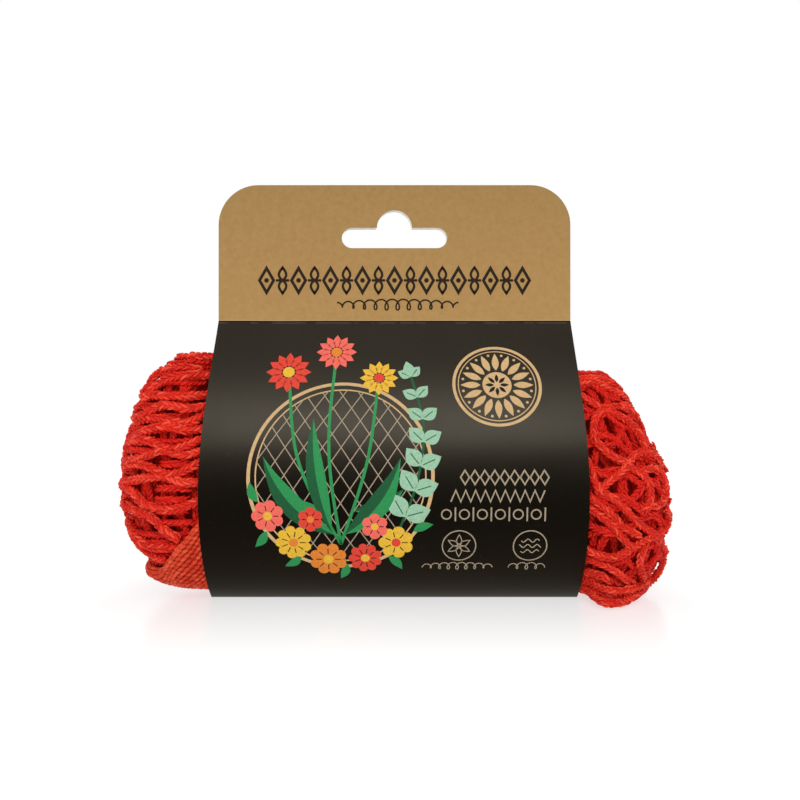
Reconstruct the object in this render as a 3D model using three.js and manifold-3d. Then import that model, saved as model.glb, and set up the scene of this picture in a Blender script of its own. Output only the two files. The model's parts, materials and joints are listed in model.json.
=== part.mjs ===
// A cotton string bag, folded into a bundle and held upright in a card sleeve with a hang-up header.
// Millimetres. +X runs along the bundle, -Y is the printed front and +Z is up.
// The origin is the middle of the flat fold that the sleeve stands on.
import * as THREE from 'three';
import { mergeVertices } from 'three/addons/utils/BufferGeometryUtils.js';
import Module from 'manifold-3d';

const manifoldLibrary = await Module();
manifoldLibrary.setup();

// Card sleeve: one strip of card, bent round the bundle and closed flat above it.
const CARD_WIDTH = 110;
const CARD_THICKNESS = 0.5;
const CREASE_HEIGHT = 84.2;
const BELLY_HEIGHT = 32;
const BELLY_HALF_DEPTH = 20;
const BASE_HALF_DEPTH = 7.5;
const TOTAL_HEIGHT = 126.6;
const HEADER_CORNER_RADIUS = 12.5;
const HALF_CARD = CARD_WIDTH / 2;

// Pull points of the two curves that make one half of the sleeve's section, as [half-depth, height].
const SHOULDER_PULLS = [[9, 66.5], [BELLY_HALF_DEPTH, 50]];
const FOOT_PULLS = [[BELLY_HALF_DEPTH, 19], [13.5, 6]];
const SECTION_STEPS = 12;

// Hang-up slot: a round-ended bar with a dome over its middle.
const SLOT_LENGTH = 33;
const SLOT_HEIGHT = 6.4;
const SLOT_BOTTOM = 106.9;
const SLOT_DOME_RADIUS = 5.5;

// The bundle and its cords.
const GAP = 0.3;
const FINEST_DETAIL = 0.03;
const HAIR = 0.01;
const CORD_RADIUS = 1.7;
const CORD_SIDES = 5;
const CORD_STEP = 6.2;
const CORE_INSET = 2.4;
const CORE_ROUND_SIDES = 22;
const CORE_LEVELS = 12;
const CORE_REAR_LENGTH = 8;
const BUNDLE_TOP = 77;
const BUNDLE_SLACK = 0.6;
const BUNDLE_MIDDLE_HALF_LENGTH = 53.5;

// The bundle swells over this length from the sleeve's section to its own.
const MOUTH_LENGTH = 7;
const LOBE_POWER = 2.5;

// Each end of the bundle swells out of the sleeve as a rounded lobe. middle is the height of its
// widest place, up and down reach from there, a higher power makes the upper or lower part more
// square, and taper draws in the upper part from TAPER_START on.
const LEFT_LOBE = {
  side: -1, reach: 28, halfDepth: 20.5, middle: 37.2, up: 38.5, down: 35.5,
  upperPower: 3, lowerPower: 2.6, taper: 0.1,
};
const RIGHT_LOBE = {
  side: 1, reach: 30.5, halfDepth: 20.5, middle: 32.2, up: 37.5, down: 32,
  upperPower: 6, lowerPower: 4, taper: 0.6,
};
const TAPER_START = 36;

// Knitted handle strap, wrapped round the lower corner of the left lobe.
const STRAP_THICKNESS = 2.4;
const STRAP_INSET = 0.2;
const STRAP_WIDTH = 20;
const STRAP_STEPS_ALONG = 18;
const STRAP_STEPS_ACROSS = 7;
const STRAP_CENTRE_OFFSET = 6;
const STRAP_POWER = 3.4;
const STRAP_GAP = 0.5;
const STRAP_END_SHARE = 0.02;

const smooth = (t) => {
  const c = Math.min(1, Math.max(0, t));
  return c * c * (3 - 2 * c);
};
const mix = (a, b, t) => a + (b - a) * t;
const signedPower = (value, power) => Math.sign(value) * Math.abs(value) ** power;

// ---------- solids from three.js geometry ----------

function toSolid(geometry) {
  const bare = geometry.clone();
  bare.deleteAttribute('normal');
  bare.deleteAttribute('uv');
  const merged = mergeVertices(bare, 1e-4);
  return new manifoldLibrary.Manifold(new manifoldLibrary.Mesh({
    numProp: 3,
    vertProperties: new Float32Array(merged.attributes.position.array),
    triVerts: new Uint32Array(merged.index.array),
  }));
}

// Joined cords can seal small hollows and cuts can leave scraps: only the outer body is kept, and
// edges shorter than the finest detail are closed up.
function mainBody(solid) {
  const largest = (best, body) => (body.volume() > best.volume() ? body : best);
  return solid.simplify(FINEST_DETAIL).decompose().reduce(largest);
}

function toGeometry(solid) {
  const mesh = solid.getMesh();
  const geometry = new THREE.BufferGeometry();
  geometry.setAttribute('position', new THREE.BufferAttribute(mesh.vertProperties, 3));
  geometry.setIndex(new THREE.BufferAttribute(mesh.triVerts, 1));
  geometry.computeVertexNormals();
  return geometry;
}

// Draws the whole surface in by a hair, so that places where it would only touch itself come apart.
function drawnIn(geometry) {
  const { position, normal } = geometry.attributes;
  for (let i = 0; i < position.count; i += 1) {
    const point = new THREE.Vector3().fromBufferAttribute(position, i);
    point.addScaledVector(new THREE.Vector3().fromBufferAttribute(normal, i), -HAIR);
    position.setXYZ(i, point.x, point.y, point.z);
  }
  return geometry;
}

// Moves every vertex of a closed geometry through a function that returns its new place.
function reshape(geometry, place) {
  const position = geometry.attributes.position;
  const vertex = new THREE.Vector3();
  for (let i = 0; i < position.count; i += 1) {
    vertex.fromBufferAttribute(position, i);
    const moved = place(vertex);
    position.setXYZ(i, moved.x, moved.y, moved.z);
  }
  return geometry;
}

// ---------- the sleeve's cross-section ----------

// One half of the section from the crease down to the base, moved inwards by an inset.
function halfSection(inset) {
  const crease = new THREE.Vector2(CARD_THICKNESS, CREASE_HEIGHT);
  const belly = new THREE.Vector2(BELLY_HALF_DEPTH, BELLY_HEIGHT);
  const foot = new THREE.Vector2(BASE_HALF_DEPTH, 0);
  const pulls = [...SHOULDER_PULLS, ...FOOT_PULLS].map((pull) => new THREE.Vector2(...pull));
  const shoulderCurve = new THREE.CubicBezierCurve(crease, pulls[0], pulls[1], belly);
  const footCurve = new THREE.CubicBezierCurve(belly, pulls[2], pulls[3], foot);
  const moved = [];
  for (const curve of [shoulderCurve, footCurve]) {
    for (let i = curve === shoulderCurve ? 0 : 1; i <= SECTION_STEPS; i += 1) {
      const point = curve.getPoint(i / SECTION_STEPS);
      const along = curve.getTangent(i / SECTION_STEPS);
      moved.push(new THREE.Vector2(point.x + along.y * inset, point.y - along.x * inset));
    }
  }
  // The base is flat, so its last point slides along the slope to the inset height.
  const last = moved[moved.length - 1];
  const beforeLast = moved[moved.length - 2];
  const share = (inset - last.y) / (beforeLast.y - last.y);
  last.set(mix(last.x, beforeLast.x, share), inset);
  // Above the place where the two halves meet, the inset half has crossed over and is dropped.
  const kept = moved.filter((point) => point.x > 0);
  const first = kept[0];
  const second = kept[1];
  const slope = (first.y - second.y) / (second.x - first.x);
  return [new THREE.Vector2(0, first.y + slope * first.x), ...kept.slice(1)];
}

function closedSection(inset) {
  const half = halfSection(inset);
  const other = half.slice(1).map((point) => new THREE.Vector2(-point.x, point.y));
  return [half[0], ...other, ...half.slice(1).reverse()];
}

// Half-depth of the space inside the sleeve at a height.
const INNER_HALF = halfSection(CARD_THICKNESS + GAP);
function mouthHalfDepth(height) {
  const top = INNER_HALF[0].y;
  const bottom = INNER_HALF[INNER_HALF.length - 1].y;
  const z = Math.min(top, Math.max(bottom, height));
  for (let i = 1; i < INNER_HALF.length; i += 1) {
    const above = INNER_HALF[i - 1];
    const below = INNER_HALF[i];
    if (z >= below.y) {
      return mix(above.x, below.x, (above.y - z) / (above.y - below.y));
    }
  }
  return 0;
}

// Extrudes a section drawn in the Y-Z plane along X, centred on the origin.
function extrudeAlongX(points, holes, length) {
  const shape = new THREE.Shape(points);
  shape.holes = holes.map((hole) => new THREE.Path(hole));
  const geometry = new THREE.ExtrudeGeometry(shape, { depth: length, bevelEnabled: false, steps: 1 });
  const turn = new THREE.Matrix4().makeBasis(
    new THREE.Vector3(0, 1, 0), new THREE.Vector3(0, 0, 1), new THREE.Vector3(1, 0, 0),
  );
  return geometry.applyMatrix4(turn).translate(-length / 2, 0, 0);
}

// ---------- card sleeve ----------

function slotPath() {
  const end = SLOT_LENGTH / 2 - SLOT_HEIGHT / 2;
  const middle = SLOT_BOTTOM + SLOT_HEIGHT / 2;
  const top = SLOT_BOTTOM + SLOT_HEIGHT;
  const path = new THREE.Path();
  path.moveTo(-SLOT_DOME_RADIUS, top);
  path.absarc(0, top, SLOT_DOME_RADIUS, Math.PI, 0, true);
  path.lineTo(end, top);
  path.absarc(end, middle, SLOT_HEIGHT / 2, Math.PI / 2, -Math.PI / 2, true);
  path.lineTo(-end, SLOT_BOTTOM);
  path.absarc(-end, middle, SLOT_HEIGHT / 2, -Math.PI / 2, -3 * Math.PI / 2, true);
  return path;
}

// Both layers of the header, glued together, with rounded upper corners.
function headerSolid() {
  const bottom = CREASE_HEIGHT - 1.2;
  const corner = HEADER_CORNER_RADIUS;
  const shape = new THREE.Shape();
  shape.moveTo(-HALF_CARD, bottom);
  shape.lineTo(HALF_CARD, bottom);
  shape.lineTo(HALF_CARD, TOTAL_HEIGHT - corner);
  shape.absarc(HALF_CARD - corner, TOTAL_HEIGHT - corner, corner, 0, Math.PI / 2, false);
  shape.lineTo(-HALF_CARD + corner, TOTAL_HEIGHT);
  shape.absarc(-HALF_CARD + corner, TOTAL_HEIGHT - corner, corner, Math.PI / 2, Math.PI, false);
  shape.holes = [slotPath()];
  const geometry = new THREE.ExtrudeGeometry(shape, {
    depth: 2 * CARD_THICKNESS, bevelEnabled: false, steps: 1, curveSegments: 10,
  });
  const stand = new THREE.Matrix4().makeBasis(
    new THREE.Vector3(1, 0, 0), new THREE.Vector3(0, 0, 1), new THREE.Vector3(0, -1, 0),
  );
  return toSolid(geometry.applyMatrix4(stand).translate(0, CARD_THICKNESS, 0));
}

function cardSleeve() {
  const wrap = extrudeAlongX(closedSection(0), [closedSection(CARD_THICKNESS)], CARD_WIDTH);
  return toSolid(wrap).add(headerSolid());
}

// The wall of the sleeve made thicker by the gap that everything else keeps to it.
function cardSpace() {
  const wall = extrudeAlongX(
    closedSection(-GAP), [closedSection(CARD_THICKNESS + GAP)], CARD_WIDTH + 2 * GAP,
  );
  return toSolid(wall);
}

// ---------- the surface of a lobe ----------

// How full the lobe is at a height: 1 at its middle, 0 at its top and bottom.
function fullness(lobe, z, inset) {
  const above = z > lobe.middle;
  const power = above ? lobe.upperPower : lobe.lowerPower;
  const half = (above ? lobe.up : lobe.down) - inset;
  const share = Math.min(1, Math.abs(z - lobe.middle) / half);
  return (1 - share ** power) ** (1 / power);
}

function taperAt(lobe, z) {
  return 1 - lobe.taper * Math.max(0, (z - TAPER_START) / lobe.up);
}

function reachAt(lobe, z, inset) {
  return (lobe.reach * taperAt(lobe, z) - inset) * fullness(lobe, z, inset);
}

// A point of the lobe. turn is -1 at the sleeve's front edge, 0 at the end and 1 at its back edge.
function lobePoint(lobe, turn, z, inset) {
  const angle = (turn * Math.PI) / 2;
  const out = reachAt(lobe, z, inset) * Math.max(0, Math.cos(angle)) ** (2 / LOBE_POWER);
  const depth = (lobe.halfDepth * taperAt(lobe, z) - inset) * fullness(lobe, z, inset);
  const free = depth * signedPower(Math.sin(angle), 2 / LOBE_POWER);
  return new THREE.Vector3(lobe.side * (HALF_CARD + out), squeeze(free, out, z, inset), z);
}

// Near the sleeve the bundle is squeezed to the sleeve's own section.
function squeeze(y, out, z, inset) {
  const limit = Math.max(0.5, mouthHalfDepth(z) - inset);
  const held = Math.min(Math.abs(y), limit);
  return Math.sign(y) * mix(held, Math.abs(y), smooth(out / MOUTH_LENGTH));
}

// The turn at which the lobe's front is at a given x.
function turnAt(lobe, x, z, inset) {
  const share = Math.min(1, Math.max(0, (Math.abs(x) - HALF_CARD) / reachAt(lobe, z, inset)));
  return -Math.acos(share ** (LOBE_POWER / 2)) / (Math.PI / 2);
}

// ---------- cords ----------

// Routes on the front of a lobe, as [x, z] points from the sleeve's edge to the bundle's end.
// These cords lie nearly level and then pass round the end to the back.
const LEFT_CORDS = [
  [[-55, 72.6], [-60, 72.8], [-66, 72.3]],
  [[-58, 68.5], [-63, 69], [-69.5, 68], [-72.5, 65.5], [-74, 62.5]],
  [[-54.5, 66.5], [-60, 67], [-66, 65.5], [-70, 63], [-73, 60.5]],
  [[-54.5, 61], [-60, 60.5], [-66, 60.5], [-72, 60.5], [-76, 57]],
  [[-54.5, 57.5], [-60, 57], [-66, 58], [-70, 56.5], [-77, 54]],
  [[-54.5, 55], [-60, 52.8], [-65, 53.8], [-73, 53.6], [-78.5, 51]],
  [[-54.5, 51], [-60.5, 51], [-65, 52], [-73, 50], [-80.5, 47.5]],
  [[-54.5, 48.5], [-58, 47], [-62.5, 45.2], [-68, 47.2], [-73, 48.2], [-80, 46]],
  [[-54.5, 45], [-60, 43.6], [-65, 45.2], [-71, 43.6], [-80, 41]],
  [[-54.5, 41.5], [-59, 39.8], [-64, 38.3], [-71, 40.6], [-80.5, 39.6]],
  [[-54.5, 36], [-60, 36], [-65, 37.8], [-71, 37.2], [-81, 34.6]],
  [[-54.5, 31], [-60, 29], [-66, 28.4], [-71, 29.6], [-76, 33], [-81, 34]],
  [[-61, 19.5], [-65, 22], [-69, 25.7], [-74, 27.2], [-81, 28]],
  [[-59, 18], [-65, 16.8], [-71, 17], [-76, 20], [-81, 23]],
  [[-65, 13], [-70, 13.6], [-74, 16.2], [-79, 19.5]],
];

// These cords form open diamonds; each runs from one knot to the next.
const RIGHT_CORDS = [
  [[55, 67.4], [60, 67.4], [66, 67], [70, 64]],
  [[55, 64.4], [61, 64.6], [67, 61.5], [71, 59]],
  [[55, 61], [61, 57], [66, 57.5], [72, 57.5]],
  [[61, 57], [58.6, 53.5], [57.5, 48.5]],
  [[61, 57], [67, 54.4], [71.5, 51], [73.5, 47], [74, 43.5]],
  [[67, 58], [72, 55.5], [76, 51.5], [79, 46], [80, 40]],
  [[57.5, 48.5], [61.5, 44], [67, 41]],
  [[67, 41], [70, 43.6], [74, 44.2], [79, 41]],
  [[67, 41], [72, 37], [73.5, 32], [72, 28]],
  [[55, 42], [56.5, 38], [58, 33.7]],
  [[58, 33.7], [62, 37], [67, 41]],
  [[58, 33.7], [64, 30], [70, 24], [76, 20]],
  [[55.5, 31.5], [60, 28.5], [65, 23.5], [70, 20.5]],
  [[55, 29], [61, 24.5], [65, 20], [68, 17.5]],
  [[76, 20], [71.5, 19], [68, 17.5]],
  [[68, 17.5], [62, 14.6], [55, 16.5]],
  [[70.5, 38.5], [76, 39.5], [80, 35], [78, 29.5], [72, 29]],
  [[80, 28], [82, 23], [76, 20]],
  [[76, 20], [81, 14], [81.5, 9], [78, 4]],
  [[72, 19], [70.5, 13], [73, 7]],
  [[55, 13.5], [62, 11.4], [68, 7], [75, 3.5]],
  [[55, 9], [60, 9], [64, 5.5]],
];

// On the back of both lobes each cord is a wave, and neighbours swing opposite ways.
const WAVE_STATIONS = 7;
const HALF_WAVES = 3;
const LEFT_BACK_TOP = 68;
const LEFT_BACK_STEP = 4.35;
const LEFT_WAVE = 1.1;
const RIGHT_BACK_CORDS = 8;
const RIGHT_BACK_BOTTOM = 5;
const RIGHT_BACK_TOP = 62;
const RIGHT_WAVE = 4.2;
const RIGHT_BACK_START = -0.2;

// Two loose loops lie on the ground in front of the right lobe, as [x, y, z] points.
const GROUND_LOOPS = [
  [[55.5, -11, 3.2], [59.5, -18.5, 2.2], [63, -18.5, 2], [69, -14.5, 2.2], [76, -7, 3.2]],
  [[55.6, -15, 6], [62, -17.5, 5], [69, -14.5, 4.6], [75, -9, 4.8], [79, -1, 4.5]],
];

function cordSolid(points) {
  const path = new THREE.CatmullRomCurve3(points, false, 'centripetal');
  const corners = [];
  for (let i = 0; i < CORD_SIDES; i += 1) {
    const angle = (i / CORD_SIDES) * 2 * Math.PI;
    corners.push(new THREE.Vector2(CORD_RADIUS * Math.cos(angle), CORD_RADIUS * Math.sin(angle)));
  }
  return toSolid(new THREE.ExtrudeGeometry(new THREE.Shape(corners), {
    steps: Math.max(3, Math.round(path.getLength() / CORD_STEP)), extrudePath: path,
  }));
}

// A cord on the front of a lobe, lying just under its outer surface.
function frontRoute(lobe, route) {
  return route.map(([x, z]) => lobePoint(lobe, turnAt(lobe, x, z, CORD_RADIUS), z, CORD_RADIUS));
}

// Cords that go on round the end and over the back in waves that meet the cords beside them.
function waveRoute(lobe, startZ, finishZ, phase, wave, startTurn) {
  const points = [];
  for (let i = 0; i <= WAVE_STATIONS; i += 1) {
    const share = i / WAVE_STATIONS;
    const turn = mix(startTurn, 1, share);
    const settle = Math.sin(Math.PI * Math.min(0.5, share * 1.5));
    const swing = wave * settle * Math.sin(Math.PI * HALF_WAVES * share + phase);
    const z = mix(startZ, finishZ, smooth(share)) + swing;
    points.push(lobePoint(lobe, turn, z, CORD_RADIUS));
  }
  return points;
}

function leftCords() {
  return LEFT_CORDS.map((route, index) => {
    const [lastX, lastZ] = route[route.length - 1];
    const startTurn = turnAt(LEFT_LOBE, lastX, lastZ, CORD_RADIUS);
    const backZ = LEFT_BACK_TOP - LEFT_BACK_STEP * index;
    const back = waveRoute(LEFT_LOBE, lastZ, backZ, Math.PI * index, LEFT_WAVE, startTurn);
    return cordSolid([...frontRoute(LEFT_LOBE, route), ...back.slice(1)]);
  });
}

function rightCords() {
  const solids = RIGHT_CORDS.map((route) => cordSolid(frontRoute(RIGHT_LOBE, route)));
  for (let i = 0; i < RIGHT_BACK_CORDS; i += 1) {
    const z = mix(RIGHT_BACK_BOTTOM, RIGHT_BACK_TOP, i / (RIGHT_BACK_CORDS - 1));
    solids.push(cordSolid(waveRoute(RIGHT_LOBE, z, z, Math.PI * i, RIGHT_WAVE, RIGHT_BACK_START)));
  }
  for (const loop of GROUND_LOOPS) {
    solids.push(cordSolid(loop.map((point) => new THREE.Vector3(...point))));
  }
  return solids;
}

// ---------- the folded bundle ----------

// The part of the bundle inside the sleeve.
function bundleMiddle() {
  const section = closedSection(CARD_THICKNESS + GAP + BUNDLE_SLACK).map((point) => (
    new THREE.Vector2(point.x, Math.min(point.y, BUNDLE_TOP))
  ));
  return toSolid(extrudeAlongX(section, [], 2 * BUNDLE_MIDDLE_HALF_LENGTH));
}

// The packed layers of net under the cords that show, as one rounded core.
function lobeCore(lobe) {
  const ball = new THREE.SphereGeometry(1, CORE_ROUND_SIDES, CORE_LEVELS);
  return toSolid(reshape(ball, (unit) => {
    const level = Math.max(1e-6, Math.hypot(unit.x, unit.z));
    const outward = unit.x / level;
    const backward = Math.min(1, Math.max(-1, -unit.z / level));
    const power = unit.y > 0 ? lobe.upperPower : lobe.lowerPower;
    const half = (unit.y > 0 ? lobe.up : lobe.down) - CORE_INSET;
    const z = lobe.middle + half * signedPower(unit.y, 2 / power);
    if (outward * lobe.side >= 0) {
      return lobePoint(lobe, Math.asin(backward) / (Math.PI / 2), z, CORE_INSET);
    }
    // The half that faces the sleeve reaches a little way into it.
    const full = level ** (2 / power);
    const depth = (lobe.halfDepth * taperAt(lobe, z) - CORE_INSET) * full;
    const y = depth * signedPower(backward, 2 / LOBE_POWER);
    const x = lobe.side * HALF_CARD + CORE_REAR_LENGTH * full * outward;
    return new THREE.Vector3(x, squeeze(y, 0, z, CORE_INSET), z);
  }));
}

function netBundle(strapSpace) {
  let bundle = bundleMiddle().add(lobeCore(LEFT_LOBE)).add(lobeCore(RIGHT_LOBE));
  for (const cord of [...leftCords(), ...rightCords()]) {
    bundle = bundle.add(cord);
  }
  return mainBody(bundle.subtract(cardSpace()).subtract(strapSpace));
}

// ---------- handle strap ----------

// The strap comes out of the sleeve's front, goes under the lobe's lower corner and in at the back.
// Its two edges, as [x, y, z] points near the lobe's surface.
const STRAP_UPPER_EDGE = [
  [-52, -17.5, 30], [-57, -17.8, 22.5], [-62, -16.8, 16.5], [-66.8, -13.3, 10.9],
  [-71.5, -10.5, 9.6], [-77, -1, 8.5], [-73, 9, 9], [-66, 14, 10], [-58, 16.5, 12], [-52, 16.5, 14],
];
const STRAP_LOWER_EDGE = [
  [-52, -6, 1.2], [-56, -4, 0.6], [-59.5, -2.5, 0.3], [-62, -1.5, 0.3], [-63.5, -0.5, 0.3],
  [-64, 1, 0.3], [-62.5, 3, 0.3], [-60, 4.5, 0.4], [-56, 6, 0.8], [-52, 7, 1.2],
];

function edgeCurve(points) {
  const list = points.map((point) => new THREE.Vector3(...point));
  return new THREE.CatmullRomCurve3(list, false, 'centripetal');
}

// Moves a point along the line from the lobe's middle until it is a given depth under its surface.
function ontoLeftLobe(point, inset) {
  const lobe = LEFT_LOBE;
  const centre = new THREE.Vector3(-HALF_CARD + STRAP_CENTRE_OFFSET, 0, lobe.middle);
  const ray = point.clone().sub(centre);
  const sum = Math.abs(ray.x / (lobe.reach + STRAP_CENTRE_OFFSET - inset)) ** STRAP_POWER
    + Math.abs(ray.y / (lobe.halfDepth - inset)) ** STRAP_POWER
    + Math.abs(ray.z / (lobe.down - inset)) ** STRAP_POWER;
  const moved = centre.add(ray.multiplyScalar(sum ** (-1 / STRAP_POWER)));
  const out = Math.max(0, -moved.x - HALF_CARD);
  moved.y = squeeze(moved.y, out, moved.z, inset);
  return moved;
}

// The strap, or with grow above 0 the space that it needs, a little larger on every side.
function strapSolid(grow) {
  const upper = edgeCurve(STRAP_UPPER_EDGE);
  const lower = edgeCurve(STRAP_LOWER_EDGE);
  const box = new THREE.BoxGeometry(1, 1, 1, STRAP_STEPS_ALONG, STRAP_STEPS_ACROSS, 1);
  const growShare = grow / STRAP_WIDTH;
  const endShare = grow > 0 ? 0 : STRAP_END_SHARE;
  return toSolid(reshape(box, (unit) => {
    const along = mix(endShare, 1 - endShare, unit.x + 0.5);
    const across = mix(-growShare, 1 + growShare, unit.y + 0.5);
    const top = upper.getPoint(along);
    const point = top.lerp(lower.getPoint(along), across);
    const inset = unit.z > 0 ? -grow : STRAP_THICKNESS + grow;
    return ontoLeftLobe(point, inset + STRAP_INSET);
  }));
}

// ---------- the object ----------

function sleeveMaterial() {
  return new THREE.MeshStandardMaterial({ color: 0xad8854, roughness: 0.75, metalness: 0 });
}

function netMaterial() {
  return new THREE.MeshStandardMaterial({ color: 0xc8281a, roughness: 0.95, metalness: 0 });
}

function strapMaterial() {
  return new THREE.MeshStandardMaterial({ color: 0xb8321d, roughness: 0.95, metalness: 0 });
}

const part = new THREE.Group();

function addPiece(name, geometry, material) {
  const mesh = new THREE.Mesh(geometry, material);
  mesh.name = name;
  part.add(mesh);
}

addPiece('card_sleeve', toGeometry(cardSleeve()), sleeveMaterial());
addPiece('net_bundle', drawnIn(toGeometry(netBundle(strapSolid(STRAP_GAP)))), netMaterial());
addPiece('handle_strap', toGeometry(strapSolid(0).subtract(cardSpace())), strapMaterial());

export default part;
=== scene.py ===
import json
import math
from types import SimpleNamespace

import bmesh
import bpy
import numpy as np
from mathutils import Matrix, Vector
from mathutils.geometry import tessellate_polygon

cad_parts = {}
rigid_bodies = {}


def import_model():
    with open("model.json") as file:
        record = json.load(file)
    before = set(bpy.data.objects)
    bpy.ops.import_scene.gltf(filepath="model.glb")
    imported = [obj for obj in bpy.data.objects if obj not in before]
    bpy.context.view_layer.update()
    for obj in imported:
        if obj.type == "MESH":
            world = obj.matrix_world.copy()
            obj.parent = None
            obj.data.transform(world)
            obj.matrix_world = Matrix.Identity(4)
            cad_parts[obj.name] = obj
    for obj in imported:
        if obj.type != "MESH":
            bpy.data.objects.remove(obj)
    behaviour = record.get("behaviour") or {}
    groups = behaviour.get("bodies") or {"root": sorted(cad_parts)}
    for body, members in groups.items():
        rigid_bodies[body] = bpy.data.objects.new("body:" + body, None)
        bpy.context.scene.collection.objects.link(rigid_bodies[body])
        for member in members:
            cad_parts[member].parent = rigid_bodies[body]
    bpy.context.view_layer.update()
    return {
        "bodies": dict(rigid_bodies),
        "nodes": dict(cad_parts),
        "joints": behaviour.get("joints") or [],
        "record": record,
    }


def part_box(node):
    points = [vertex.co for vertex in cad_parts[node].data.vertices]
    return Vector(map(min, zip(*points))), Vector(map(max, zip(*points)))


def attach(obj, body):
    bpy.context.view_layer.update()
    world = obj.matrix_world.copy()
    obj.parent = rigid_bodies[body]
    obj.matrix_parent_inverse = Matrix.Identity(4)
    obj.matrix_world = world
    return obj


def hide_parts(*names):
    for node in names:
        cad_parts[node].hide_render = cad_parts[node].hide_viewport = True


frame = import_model()

MM = 0.001

# Card sleeve. Its half-width, half-depth and height come from the frame.
HALF_CARD, BELLY_HALF_DEPTH, TOTAL_HEIGHT = np.array(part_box("card_sleeve")[1]) / MM
CARD_THICKNESS = 0.5
CREASE_HEIGHT = 84.2
BELLY_HEIGHT = 32.0
BASE_HALF_DEPTH = 7.5
HEADER_CORNER_RADIUS = 12.5
SHOULDER_PULLS = [(9, 66.5), (BELLY_HALF_DEPTH, 50)]
FOOT_PULLS = [(BELLY_HALF_DEPTH, 19), (13.5, 6)]
SECTION_STEPS = 12
SLOT_LENGTH = 33.0
SLOT_HEIGHT = 6.4
SLOT_BOTTOM = 106.9
SLOT_DOME_RADIUS = 5.5

# Cords and the two ends of the bundle, as the CAD model has them.
GAP = 0.3
CORD_RADIUS = 1.7
LEFT_HALF_WIDTH = 1.66
RIGHT_HALF_WIDTH = 1.45
INNER_HALF_WIDTH = 1.5
LOBE_POWER = 2.5
MOUTH_LENGTH = 7.0
TAPER_START = 36.0
LEFT_LOBE = SimpleNamespace(
    side=-1, reach=28, half_depth=20.5, middle=37.2, up=38.5, down=35.5, upper_power=3, lower_power=2.6,
    taper=0.1, swell=1.6,
)
RIGHT_LOBE = SimpleNamespace(
    side=1, reach=30.5, half_depth=20.5, middle=32.2, up=37.5, down=32, upper_power=6, lower_power=4,
    taper=0.6, swell=0,
)
# The swell is greatest at this height and fades over this distance.
SWELL_HEIGHT = 31
SWELL_SPREAD = 14


# ---------- small helpers ----------

def smooth(t):
    """Rises from 0 to 1 with t, slowly at both ends."""
    t = np.clip(t, 0, 1)
    return t * t * (3 - 2 * t)


def mix(a, b, t):
    return a + (b - a) * t


def signed_power(value, power):
    return np.sign(value) * np.abs(value) ** power


def unit(vectors):
    return vectors / np.maximum(np.linalg.norm(vectors, axis=-1, keepdims=True), 1e-9)


def read_off(wanted, places, values):
    """Reads rows of values, which are known at some places, at the wanted places."""
    return np.stack([np.interp(wanted, places, column) for column in values.T], axis=-1)


def run_length(points):
    """The length of a line of points up to each of them."""
    steps = np.linalg.norm(np.diff(points, axis=-2), axis=-1)
    return np.concatenate([np.zeros_like(steps[..., :1]), np.cumsum(steps, axis=-1)], axis=-1)


def cubic_bezier(a, b, c, d, steps):
    """steps + 1 points of one cubic curve."""
    t = np.linspace(0, 1, steps + 1)[:, None]
    a, b, c, d = (np.array(point, float) for point in (a, b, c, d))
    return a * (1 - t) ** 3 + 3 * b * t * (1 - t) ** 2 + 3 * c * t * t * (1 - t) + d * t ** 3


def through(points, shares):
    """Points of the centripetal Catmull-Rom curve through given points, at shares of its parameter."""
    p = np.array(points, float)
    p = np.vstack([2 * p[0] - p[1], p, 2 * p[-1] - p[-2]])
    place = np.clip(shares, 0, 1) * (len(points) - 1)
    first = np.minimum(place.astype(int), len(points) - 2)
    t = (place - first)[:, None]
    p0, p1, p2, p3 = knots = np.stack([p[first + i] for i in range(4)])
    d0, d1, d2 = np.sqrt(np.linalg.norm(np.diff(knots, axis=0), axis=-1, keepdims=True))
    start = ((p1 - p0) / d0 - (p2 - p0) / (d0 + d1) + (p2 - p1) / d1) * d1
    end = ((p2 - p1) / d1 - (p3 - p1) / (d1 + d2) + (p3 - p2) / d2) * d1
    return (
        p1 + start * t
        + (3 * (p2 - p1) - 2 * start - end) * t ** 2
        + (2 * (p1 - p2) + start + end) * t ** 3
    )


def mesh_object(name, points, faces, materials, uv=None):
    """A smooth mesh piece. faces holds point numbers and uv one pair for each corner of a face."""
    mesh = bpy.data.meshes.new(name)
    mesh.from_pydata((np.asarray(points) * MM).tolist(), [], np.asarray(faces).tolist())
    if uv is not None:
        mesh.uv_layers.new(name="along").uv.foreach_set("vector", uv.ravel())
    mesh.validate()
    mesh.shade_smooth()
    for material in materials:
        mesh.materials.append(material)
    return in_scene(name, mesh)


def in_scene(name, data):
    thing = bpy.data.objects.new(name, data)
    bpy.context.scene.collection.objects.link(thing)
    return thing


def seal(piece):
    """Caps the open ends of a piece and turns its faces outwards."""
    model = bmesh.new()
    model.from_mesh(piece.data)
    bmesh.ops.holes_fill(model, edges=[edge for edge in model.edges if edge.is_boundary], sides=0)
    bmesh.ops.recalc_face_normals(model, faces=model.faces)
    model.to_mesh(piece.data)
    model.free()


# ---------- shader nodes ----------

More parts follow.
